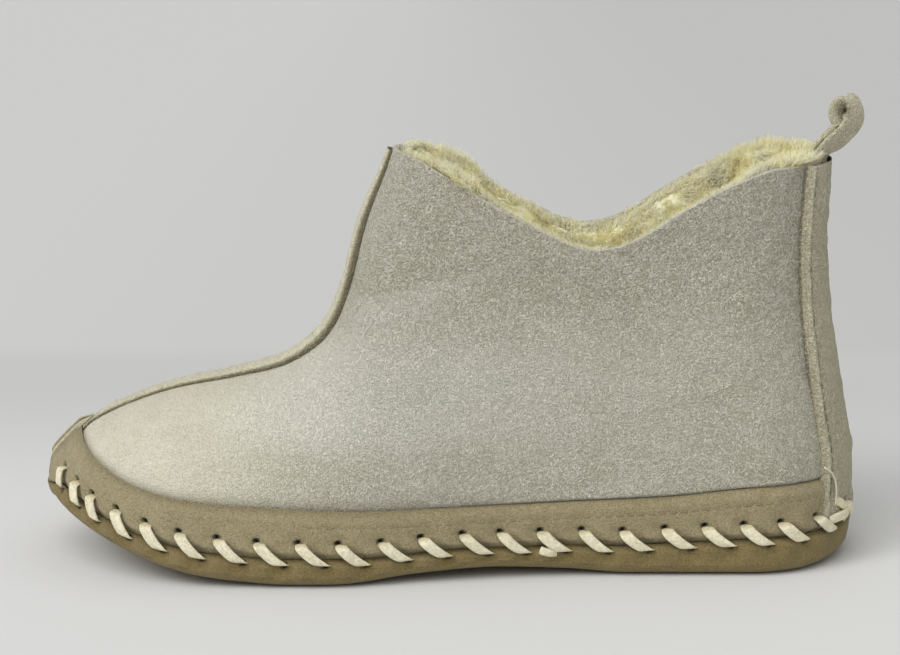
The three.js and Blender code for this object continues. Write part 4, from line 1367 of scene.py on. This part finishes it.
@dataclass
class HeelStrip:
    """The broad strip round the back, from the seam to the collar."""

    form: BootieForm = FORM
    low_angle: float = 52.0
    high_angle: float = 43.0
    thickness: float = 2.5
    per_degree: float = 0.593  # millimetres round the heel for one degree
    hem: float = 3.6  # from its edge to its stitches
    columns: int = 91
    rows: int = 130
    noise: SoftNoise = field(default_factory=lambda: SoftNoise(15))

    def edge(self, z: Array) -> Array:
        """Angle of the strip's edge from the back at a height, in degrees."""
        return blend(self.low_angle, self.high_angle, z / self.form.heel_height)

    def build(self) -> None:
        """Builds the strip."""
        form = self.form
        piece = Piece("heel_strip_suede", "band_suede", Finish.STRIP, ("heel_strip",))
        inner = np.sin(np.linspace(-1, 1, self.columns) * math.pi / 2)
        across = np.concatenate([[-1, -1], inner, [1, 1]])
        layer = np.concatenate([[0, 0.3], np.ones(self.columns), [0.3, 0]])
        rise = np.linspace(0, 1, self.rows)[:, None]
        edge_z = form.seam_height + rise * (form.heel_height - form.seam_height)
        edge = self.edge(edge_z)
        angle = across * edge
        u = form.heel_at(angle)
        side = np.where(angle < 0, OUTER, INNER)
        low, high = form.seam(u) + LACING.crease, form.collar(u) + 0.4
        z = low + (high - low) * rise
        place = PATH.of(u, side)
        height = z - form.seam(u)
        worked, hole = LACING.work(place, height, LACING.upper_holes(), LACING.above)
        foot = smooth(height, LACING.crease - 0.1, LACING.crease + 2.6)
        inside = (1 - np.abs(across)) * edge * self.per_degree
        layer = layer * (0.3 + 0.7 * smooth(inside, 0, 1.7))
        hem = 0.5 * bump(inside - 1.7, 1.2) - 0.6 * bump(inside - self.hem, 0.6)
        base = form.point(u, z, side)
        soft = 0.4 * self.noise(base, 14) + 0.3 * self.noise(base, 4) + 0.25 * np.abs(self.noise(base, 2.2))
        body = (self.thickness + hem + soft + worked) * layer
        offset = 0.25 + body * foot
        skin = form.point(u, z, side, offset)
        tone = 0.4 * self.noise(base, 20) + 0.25 * smooth(z, 40, 100) - 0.1
        # Painted shade in the stitch groove.
        tone = tone - 0.5 * bump(inside - self.hem, 0.7)
        # Darker along the cut edge: its raw colour, with painted shade where it stands off the panel, and painted
        # shade in the crease at its foot.
        raw = np.maximum(1 - smooth(inside, -0.05, 0.2), 0.6 * (1 - smooth(height - LACING.crease, 0.0, 0.9)))
        piece.grid(skin, tone=np.clip(tone, -1, 1), crinkle=0.9, edge=raw, hole=hole)
        piece.make()


@dataclass
class PullLoop:
    """The strap folded on itself at the top of the heel."""

    form: BootieForm = FORM
    width: float = 14.0
    layer: float = 2.7
    heel_radius: float = 20.0
    middle: tuple[tuple[float, float], ...] = ((-0.6, -5.0), (-0.8, 0.0), (0.2, 2.4), (2.6, 5.2), (5.2, 7.8),
                                               (7.0, 10.2), (7.7, 12.8), (6.6, 15.2))
    noise: SoftNoise = field(default_factory=lambda: SoftNoise(18))

    def build(self) -> None:
        """Builds the loop."""
        form = self.form
        piece = Piece("pull_loop_strap", "band_suede", Finish.STRIP, ("pull_loop",))
        start = form.length - float(form.lean(np.array(1.0), np.array(form.heel_height))) + 0.05
        line, steps = soft_line(self.middle, 40)
        tangent = unit(np.gradient(line, axis=0))
        sideways = np.stack([tangent[:, 1], -tangent[:, 0]], axis=-1)
        apart = 0.85 + 1.15 * smooth(steps, 4.0, 6.6)
        outside = line + sideways * apart[:, None]
        inside = line - sideways * apart[:, None]
        turn = np.linspace(0, math.pi, 12)[1:-1, None]
        tip = line[-1] + sideways[-1] * np.cos(turn) * apart[-1] + tangent[-1] * np.sin(turn) * 2.0
        flat = np.concatenate([outside, tip, inside[::-1]])
        path = np.stack([start + flat[:, 0], np.zeros(len(flat)), form.heel_height + flat[:, 1]], axis=-1)
        way = unit(np.gradient(flat, axis=0))
        out = np.stack([way[:, 1], np.zeros(len(flat)), -way[:, 0]], axis=-1)
        lean = smooth(path[:, 2], form.heel_height - 3, form.heel_height + 7)
        twist = math.radians(38) * lean[:, None]
        out = out * np.cos(twist) + np.array([0, -1, 0]) * np.sin(twist) * np.tanh(3 * out[:, :1])
        path[:, 1] -= 1.2 * lean
        base = 1 - smooth(path[:, 2], form.heel_height - 1, form.heel_height + 7)
        half = self.width / 2 * (1 - 0.1 * lean) + 4.5 * base + 0.25 * self.noise(path, 3)
        piece.tube(path, half, 36, self.layer / 2 / half, out, crinkle=0.5, tone=0.35)
        strap = piece.points[-1]
        wrap = 1 - smooth(strap[:, 2], form.heel_height, form.heel_height + 9)
        strap[:, 0] -= strap[:, 1] ** 2 / 2 / self.heel_radius * wrap
        piece.make()


@dataclass
class Lace:
    """The flat whip lace: it comes out of each upper hole, crosses the seam and goes into the lower one."""

    form: BootieForm = FORM
    width: float = 3.75
    thickness: float = 1.25
    noise: SoftNoise = field(default_factory=lambda: SoftNoise(21))
    path: Curve = Curve((0, 0), (0.2, 0.13), (0.45, 0.35), (0.7, 0.6), (0.88, 0.8), (1, 1))
    drop: Curve = Curve((0, 0), (0.2, 0.23), (0.45, 0.52), (0.7, 0.79), (0.88, 0.94), (1, 1))
    lift: Curve = Curve((0, -1.5), (0.06, -0.1), (0.14, 0.75), (0.4, 1.0), (0.75, 0.8), (0.9, 0.35), (1, -0.9))
    girth: Curve = Curve((0, 0.72), (0.08, 0.95), (0.3, 1.06), (0.6, 1.08), (0.8, 1.04), (0.92, 0.85), (1, 0.5))
    reach: Curve = Curve((0, 0.8), (0.03, 0.85), (0.065, 0.95), (0.1, 1))

    def bar(self, piece: Piece, start: float, end: float, swell: float) -> None:
        """Adds one bar of the lace, whose ends are cut along the seam.

        Args:
            piece: The lace.
            start: Place of its upper hole.
            end: Place of its lower hole.
            swell: Its size against the others.
        """
        form = self.form
        way = np.linspace(0, 1, 26)[:, None]
        wide, thick = squarish(np.arange(16) * math.pi / 8, 0.6, 0.8)
        run = end - start
        share = float(PATH.at(np.array(start))[0])
        head = 0.5 - 0.3 * (1 - float(smooth(np.array(share), 0.04, 0.09)))
        slant = run / math.hypot(run, LACING.above + LACING.below)
        half = self.width / 2 * self.girth(way) * swell * (1 + 0.16 * slant)
        place = start + 0.6 + (run + 0.6) * self.path(way) + half * wide
        height = LACING.above - head - (LACING.above + LACING.below - 0.1 - head) * self.drop(way) * self.reach(share)
        height = height + half * wide * 0.16 * (1 - smooth(way, 0.75, 1))
        u, side = PATH.at(place)
        flat = np.stack([place, np.broadcast_to(height, place.shape), np.zeros(place.shape)], axis=-1)
        uneven = 0.2 * self.noise(flat, 1.9) + 0.12 * self.noise(flat, 0.9)
        over = self.lift(way) * self.thickness * swell + thick * self.thickness / 2 * (1 + uneven)
        skin = form.point(u, form.seam(u) + height, side, 2.3 + over)
        soiled = np.maximum(1 - smooth(way, 0.02, 0.12), smooth(way, 0.86, 1.0))
        tip, tail = (np.broadcast_to(row.mean(axis=1, keepdims=True), row.shape) for row in (skin[:1], skin[-1:]))
        marks = np.concatenate([soiled[:1], soiled, soiled[-1:]])
        piece.grid(np.concatenate([tip, skin, tail]), endless=True, edge=marks)

    def build(self) -> None:
        """Builds the whole lace."""
        piece = Piece("whip_lace", "lace_leather", Finish.LACE, ("lace",))
        sizes = np.random.default_rng(8).uniform(0.92, 1.06, len(LACING.upper_holes()))
        for start, end, swell in zip(LACING.upper_holes(), LACING.lower_holes(), sizes):
            self.bar(piece, start, end, swell)
        self.stub(piece)
        self.tie(piece)
        piece.make()

    def on_side(self, rows: Sequence[tuple[float, float, float]], count: int = 18) -> tuple[Array, Array]:
        """A smooth line over the outer side.

        Args:
            rows: Place along the foot, height, and millimetres off the form.
            count: Points of the line.

        Returns:
            The line and the outward directions.
        """
        line, _ = soft_line(rows, count)
        u = self.form.share(line[:, 0], line[:, 1])
        points = self.form.point(u, line[:, 1], OUTER, line[:, 2])
        return points, unit(self.form.point(u, line[:, 1], OUTER, line[:, 2] + 1) - points)

    def stub(self, piece: Piece) -> None:
        """Adds the end of the lace that shows between two bars."""
        line, out = self.on_side([(158.4, 9.6, 2.6), (159.4, 9.3, 3.4), (161.6, 8.8, 3.4), (163.2, 8.8, 2.6)])
        piece.tube(line, 1.35, 12, 0.6, out, edge=0.2)

    def tie(self, piece: Piece) -> None:
        """Adds the overlapped ends of the lace beside the heel strip.

        Args:
            piece: The lace.
        """
        line, out = self.on_side([(252.2, 21.5, 1.6), (253.0, 20.8, 3.6), (254.6, 18.6, 4.0), (256.0, 15.8, 3.6),
                                  (256.6, 13.0, 2.0)])
        piece.tube(line, self.width / 2 * 0.8, 12, 0.35, out, edge=0.15)
        line, out = self.on_side([(250.0, 15.6, 2.6), (251.8, 16.6, 4.2), (254.4, 16.8, 4.8), (257.2, 15.9, 2.6)])
        piece.tube(line, self.width / 2 * 0.85, 12, 0.35, out, edge=0.1)


@dataclass
class Lining:
    """The fleece: a tufted lining inside, which stands out along the collar edge."""

    form: BootieForm = FORM
    clumps: int = 630
    strands: int = 24
    steps: int = 6
    columns: int = 260
    length: float = 4.6
    pile: float = 7.6
    broad: SoftNoise = field(default_factory=lambda: SoftNoise(31))
    depth: Curve = Curve((0, 1.3), (0.08, 2.0), (0.2, 4.2), (0.33, 6.6), (0.45, 8.3), (0.6, 9.0), (1, 8.6))
    over: Curve = Curve((0, 0.15), (0.08, 0.8), (0.2, 1.15), (0.33, 1.0), (0.45, 0.3), (0.6, 0), (1, 0))
    drop: Curve = Curve((0, 0), (0.33, 0), (0.45, 2.2), (0.6, 8), (1, 30))
    rise: Curve = Curve((0.42, -1.6), (0.46, -1.0), (0.5, 1.2), (0.528, 1.8), (0.545, -2.0), (0.6, -2.8), (0.67, -3.2),
                        (0.74, -2.9), (0.82, -2.6), (0.87, -2.0), (0.92, -0.8), (0.96, 0.6), (1, 0.2))

    def point(self, u: Array, side: Array, way: Array, lift: Array) -> Array:
        """Points of the fleece's surface.

        Args:
            u: Shares of the length.
            side: Sides of the foot.
            way: From the collar edge, 0, over the roll and down inside, 1.
            lift: Millimetres off its surface.

        Returns:
            One point for each set of values.
        """
        u, side, way, lift = np.broadcast_arrays(u, side, way, lift)
        narrow = 0.45 + 0.55 * smooth(u, self.form.peak_at, 0.5)
        back = 1 - 0.25 * smooth(u, 0.93, 1)

        def outline(at: Array) -> tuple[Array, Array]:
            """Depth behind the hide's face and height over the collar edge."""
            return self.depth(at) * narrow * back, self.over(at) * self.rise(u) - self.drop(at)

        deep, high = outline(way)
        deeper, higher = outline(np.clip(way + 0.02, 0, 1.02))
        before, below = outline(np.clip(way - 0.02, 0, 1))
        tangent = unit(np.stack([deeper - before, higher - below], axis=-1))
        deep = deep - tangent[..., 1] * lift
        high = high + tangent[..., 0] * lift
        top = self.form.top(u)
        section = self.form.point(u, np.where(high < 0, top + high, top), side, -deep)
        section[..., 2] += np.where(high > 0, high, 0)
        return section

    def build(self) -> None:
        """Builds the roll along the collar, which stands for the CAD's fleece."""
        form = self.form
        piece = Piece("fleece_roll", "fleece", Finish.FLEECE, ("fleece_collar",))
        way = np.linspace(0, 1, 70)[:, None]
        half = form.peak_at + 0.002 + (0.998 - form.peak_at) * np.linspace(0, 1, self.columns) ** 1.15
        u, side = both_sides(half)
        base = self.point(u, side, way, 0.0)
        tuft = 1.4 * self.broad(base, 6.5) + 0.7 * self.broad(base, 3.4) + 0.6 * np.abs(self.broad(base, 1.5))
        lift = tuft * smooth(way, 0, 0.12)
        skin = self.point(u, side, way, lift)
        tone = np.clip(0.1 - 0.2 * lift + 0.4 * smooth(way, 0.5, 1), -1, 1)
        piece.grid(skin, endless=True, flip=True, tone=tone)
        piece.make()

    def inside(self) -> None:
        """Builds the lining down to the footbed."""
        form = self.form
        piece = Piece("fleece_lining", "fleece", Finish.FLEECE)
        half = np.concatenate([np.linspace(0.07, form.peak_at, 70, endpoint=False),
                               np.linspace(form.peak_at, 0.985, 110)])
        for side in (OUTER, INNER):
            low = form.ground(half) + 6.0
            high = np.where(half < form.peak_at, form.crown(half), form.collar(half) - 6.0)
            z = form.levels(half, low, high, 54)
            base = form.point(half[:, None], z, side)
            deep = self.pile * smooth(half, 0.05, 0.2)[:, None] + self.broad(base, 7) + 0.6 * self.broad(base, 3.4)
            skin = form.point(half[:, None], z, side, -np.maximum(deep, 2.4))
            tone = np.clip(0.3 + 0.25 * (deep - self.pile), -1, 1)
            piece.grid(skin.transpose(1, 0, 2), flip=side == OUTER, tone=tone.T)
        piece.make()

    def footbed(self) -> None:
        """Builds the insole's fleece."""
        piece = Piece("fleece_footbed", "fleece", Finish.FLEECE, ("insole",))
        u, side = both_sides(np.linspace(0.02, 0.99, 150))
        rows = []
        rim = level_point(u, np.full(u.shape, 7.0), side, np.full(u.shape, -3.0))
        for share in (1, 0.93, 0.86, 0.78, 0.7, 0.62, 0.54, 0.46, 0.38, 0.3, 0.22, 0.14, 0.07, 0):
            row = rim * np.array([1, share, 1])
            row[:, 2] += 0.9 * self.broad(row, 6) + 0.5 * self.broad(row, 3)
            rows.append(row)
        piece.grid(np.stack(rows), endless=True, tone=0.1)
        piece.make()

    def wool(self, name: str, side: int, seed: int) -> None:
        """Builds the curled strands of wool on one side, gathered into soft locks.

        Args:
            name: The piece's name.
            side: Side of the foot.
            seed: Seed of the random numbers.
        """
        form = self.form
        rng = np.random.default_rng(seed)
        piece = Piece(name, "fleece", Finish.FLEECE)
        n, k = self.clumps, self.strands
        u = form.peak_at + 0.004 + (0.992 - form.peak_at) * rng.random(n)
        way = 0.02 + 0.8 * rng.random(n) ** 1.2
        size = rng.uniform(0.7, 1.1, n) * (1 - 0.2 * smooth(way, 0.4, 0.8))
        size = size * (1 - 0.35 * smooth(u, 0.66, 0.74) * (1 - smooth(u, 0.86, 0.93)))
        peak = self.point(u, side, way, self.length * size * 0.9) + rng.normal(0, 0.9, (n, 3))
        spread = np.clip(rng.normal(0, 1, (n, k, 2)), -2, 2) * np.array([2.4 / form.length, 0.045])
        share = np.clip(u[:, None] + spread[..., 0], form.peak_at + 0.003, 0.997)
        row = np.clip(way[:, None] + spread[..., 1], 0.0, 1.0)
        start = self.point(share, side, row, -0.5)
        facing = unit(self.point(share, side, row, 0.5) - start)
        drift = rng.normal(0, 1, (n, 1, 2)) + 0.5 * rng.normal(0, 1, (n, k, 2))
        goal = self.point(np.clip(share + drift[..., 0] * 1.5 / form.length, form.peak_at + 0.003, 0.997), side,
                          np.clip(row + drift[..., 1] * 0.035, 0, 1), self.length * size[:, None] * 0.75)
        goal = blend(goal, peak[:, None], 0.4) + rng.normal(0, 0.5, (n, k, 3))
        t = np.linspace(0, 1, self.steps)
        along = goal - start
        frame_a = unit(np.cross(along, rng.normal(0, 1, (n, k, 3))))
        frame_b = unit(np.cross(along, frame_a))
        phase = rng.uniform(0, 2 * math.pi, (n, k, 1)) + t * rng.uniform(5, 9, (n, k, 1))
        curl = rng.uniform(0.35, 0.85, (n, k, 1)) * t
        lines = (start[:, :, None] + along[:, :, None] * t[:, None]
                 + frame_a[:, :, None] * (curl * np.cos(phase))[..., None]
                 + frame_b[:, :, None] * (curl * np.sin(phase))[..., None])
        lines = lines.reshape(n * k, self.steps, 3)
        toward = facing.reshape(n * k, 3) + np.array([0, -0.3, 0.5]) + rng.normal(0, 0.15, (n * k, 3))
        across = unit(np.cross(lines[:, -1] - lines[:, 0], toward))
        width = np.interp(t, [0, 0.7, 1], [0.24, 0.22, 0.08])
        tip = smooth(t, 0.2, 1.0) * 0.8
        tone = np.repeat(np.clip(rng.normal(0.0, 0.14, n), -1, 1), k)[:, None] * (1 - 0.6 * t)
        piece.ribbons(lines, across, width, tip=tip, tone=tone)
        piece.make()


@dataclass
class Sewing:
    """The thread work: the topstitch under the rand's edge, beside the heel strip's edge, and on the toe."""

    form: BootieForm = FORM
    stitch: float = 2.1
    gap: float = 1.3
    radius: float = 0.2

    def dash(self, piece: Piece, line: Array, above: Array) -> None:
        """Adds one stitch that dips into the suede at both ends.

        Args:
            piece: The stitches.
            line: Points along the stitch.
            above: The same points, further out.
        """
        out = unit(above - line)
        t = np.linspace(0, 1, len(line))
        sunk = line + out * (0.2 * np.sin(t * math.pi) - 0.18)[:, None]
        piece.tube(sunk, self.radius, 6, 0.8, out)

    def build(self) -> None:
        """Builds the stitches."""
        form, rand = self.form, Rand()
        piece = Piece("topstitching", "band_suede", Finish.SEWING)
        pitch = self.stitch + self.gap
        edge_place = float(PATH.of(np.array(form.heel_at(50.0)), OUTER))
        for begin in np.arange(4.0, PATH.total - 4, pitch):
            if edge_place - 2 < begin < PATH.total - edge_place + 1:
                continue
            place = begin + np.linspace(0, self.stitch, 5)
            u, side = PATH.at(place)
            reach = rand.reach(u)
            height = reach - rand.topstitch
            if np.any(u < 0.32):
                continue
            offset, _ = rand.offset(place, height, reach, u)
            z = form.seam(u) + height
            line = form.point(u, z, side, offset + 0.1)
            self.dash(piece, line, form.point(u, z, side, offset + 1.1))
        strip = HeelStrip()
        for sign in (OUTER, INNER):
            for begin in np.arange(24.0, form.heel_height - 5, pitch):
                z = begin + np.linspace(0, self.stitch, 5)
                u = form.heel_at(strip.edge(z) - strip.hem / strip.per_degree)
                line = form.point(u, z, sign, 0.25 + strip.thickness - 0.2)
                self.dash(piece, line, form.point(u, z, sign, 4.0))
        for share in np.linspace(0.004, 0.034, 8):
            u = share + np.linspace(-0.0012, 0.0012, 5)
            over = np.array([2.6, 2.65, 2.5, 2.8, 3.3])
            line = beside_crown(u, np.linspace(-1.2, 0.9, 5), over)
            self.dash(piece, line, beside_crown(u, np.linspace(-1.2, 0.9, 5), over + 1))
        piece.make()

    def loose_thread(self) -> None:
        """Builds the pale thread end that lies on the heel strip."""
        piece = Piece("loose_thread_end", "lace_leather", Finish.LOOSE)
        line, out = Lace().on_side([(247.4, 33.8, 2.9), (249.3, 32.0, 3.6), (250.9, 28.6, 3.5), (251.5, 24.5, 3.4),
                                    (251.3, 20.6, 3.3)], 24)
        piece.tube(line, 0.33, 8, 0.9, out)
        piece.make()


@dataclass
class Fuzz:
    """Short loose fibres that stand out of the cut edges of the centre strip and the heel strip."""

    form: BootieForm = FORM
    count: int = 2600
    length: float = 0.9

    def strands(self, piece: Piece, root: Array, out: Array, rng: np.random.Generator) -> None:
        """Adds a fibre at each root.

        Args:
            piece: The fibres.
            root: Where they stand.
            out: Where they point.
            rng: The random numbers.
        """
        n = len(root)
        t = np.linspace(0, 1, 4)
        length = self.length * rng.uniform(0.4, 1.3, (n, 1))
        way = unit(out + rng.normal(0, 0.55, (n, 3)))
        bend = rng.normal(0, 0.35, (n, 3))
        lines = root[:, None] + (way * length)[:, None] * t[:, None] + (bend * length)[:, None] * (t**2)[:, None]
        across = unit(np.cross(way, rng.normal(0, 1, (n, 3))))
        piece.ribbons(lines, across, np.interp(t, [0, 1], [0.13, 0.05]), tone=0.1)

    def build(self) -> None:
        """Builds the fibres."""
        form = self.form
        rng = np.random.default_rng(51)
        piece = Piece("raw_edge_fibres", "band_suede", Finish.STRIP)
        n = self.count
        u = rng.uniform(0.04, form.peak_at, n)
        across = np.where(rng.random(n) < 0.6, OUTER, INNER) * (CentreStrip().half(u) - 0.1)
        offset = rng.uniform(0.2, 1.3, n)
        root = beside_crown(u, across, offset)
        out = unit(np.stack([np.zeros(n), np.sign(across), np.zeros(n)], axis=-1) + 0.5 * unit(
            beside_crown(u, across, offset + 1) - root))
        self.strands(piece, root, out, rng)
        z = rng.uniform(18, form.heel_height, n)
        sign = np.where(rng.random(n) < 0.6, OUTER, INNER)
        angle = HeelStrip().edge(z)
        root = form.point(form.heel_at(angle), z, sign, rng.uniform(0.5, 2.5, n))
        ahead = form.point(form.heel_at(angle + 4), z, sign, 2.0)
        self.strands(piece, root, unit(ahead - root), rng)
        piece.make()


@dataclass
class Studio:
    """Floor, lights and the camera, which stand round the bootie and aren't part of it."""

    lens: float = 84.28
    pitch: float = 12.0
    eye: tuple[float, float, float] = (130.0, -675.0, 217.0)
    paper: Colour = srgb(224, 224, 224)
    backdrop: Colour = srgb(210, 210, 210)
    backdrop_at: float = 278.0
    lights: tuple[tuple[str, tuple[float, float, float], float, float], ...] = (
        ("key_light", (-0.5, -0.8, 1.15), 1.45, 1.0),
        ("side_light", (-0.8, -0.6, 0.9), 0.65, 0.45),
    )
    air: float = 0.55

    def floor(self) -> None:
        """Makes the pale floor, with painted shade that darkens it away from the camera, and a backdrop band with
        painted light, paler to the left and darker to the right.
        """
        p = Palette("studio_floor")
        cloud = p.noise(180, 2.0)
        near = p.mix(cloud, self.paper, srgb(222, 222, 221))
        across, away = (p.node("ShaderNodeSeparateXYZ", inputs={"Vector": p.place}, out=axis) for axis in "XY")
        # Painted shade: the floor darkens away from the camera.
        near = p.mix(away.step(0.0, 0.24) * 0.9, near, srgb(200, 200, 199))
        # Painted light: the backdrop band is paler to the left and darker to the right.
        wall = p.mix(across.step(-0.3, 0.35), self.backdrop, srgb(197, 197, 196))
        line = self.backdrop_at * MM + float(ORIGIN[1])
        material = p.finish(p.mix(away.step(line - 0.012, line + 0.03), near, wall), 0.75,
                            Specular_IOR_Level=0.15)
        mesh = bpy.data.meshes.new("studio_floor")
        size = 6.0
        mesh.from_pydata([(-size, -size, 0), (size, -size, 0), (size, size, 0), (-size, size, 0)], [], [(0, 1, 2, 3)])
        mesh.materials.append(material)
        obj = bpy.data.objects.new("studio_floor", mesh)
        bpy.context.scene.collection.objects.link(obj)

    def light(self, name: str, place: tuple[float, float, float], strength: float, softness: float) -> None:
        """Adds a wide soft light that shines from a place towards the bootie.

        Args:
            name: Its name.
            place: Where it shines from.
            strength: Its strength.
            softness: Angle that it fills, in radians.
        """
        data = bpy.data.lights.new(name, "SUN")
        data.energy, data.angle = strength, softness
        obj = bpy.data.objects.new(name, data)
        obj.rotation_euler = Vector(place).to_track_quat("Z", "Y").to_euler()
        bpy.context.scene.collection.objects.link(obj)

    def build(self) -> None:
        """Builds the studio."""
        self.floor()
        for name, place, strength, softness in self.lights:
            self.light(name, place, strength, softness)
        world = bpy.data.worlds.new("studio_air")
        world.use_nodes = True
        background = world.node_tree.nodes["Background"]
        background.inputs["Color"].default_value = (*srgb(236, 236, 234), 1)
        background.inputs["Strength"].default_value = self.air
        bpy.context.scene.world = world
        bpy.context.scene.view_settings.view_transform = "Standard"
        data = bpy.data.cameras.new("photo_camera")
        data.lens, data.sensor_width, data.clip_start = self.lens, 36.0, 0.01
        camera = bpy.data.objects.new("photo_camera", data)
        camera.location = np.array(self.eye) * MM + ORIGIN
        camera.rotation_euler = Euler((math.radians(90 - self.pitch), 0, 0))
        bpy.context.scene.collection.objects.link(camera)
        bpy.context.scene.camera = camera


def main() -> None:
    """Builds the bootie and the studio."""
    logging.basicConfig(level=logging.INFO)
    Studio().build()
    Panel("outer_panel", OUTER).build()
    Panel("inner_panel", INNER).build()
    Rand().build()
    Sole().build()
    strip = CentreStrip()
    strip.build()
    strip.ridge()
    HeelStrip().build()
    PullLoop().build()
    Lace().build()
    lining = Lining()
    lining.build()
    lining.inside()
    lining.footbed()
    lining.wool("outer_wool", OUTER, 41)
    lining.wool("inner_wool", INNER, 42)
    sewing = Sewing()
    sewing.build()
    sewing.loose_thread()
    Fuzz().build()


if __name__ == "__main__":
    main()
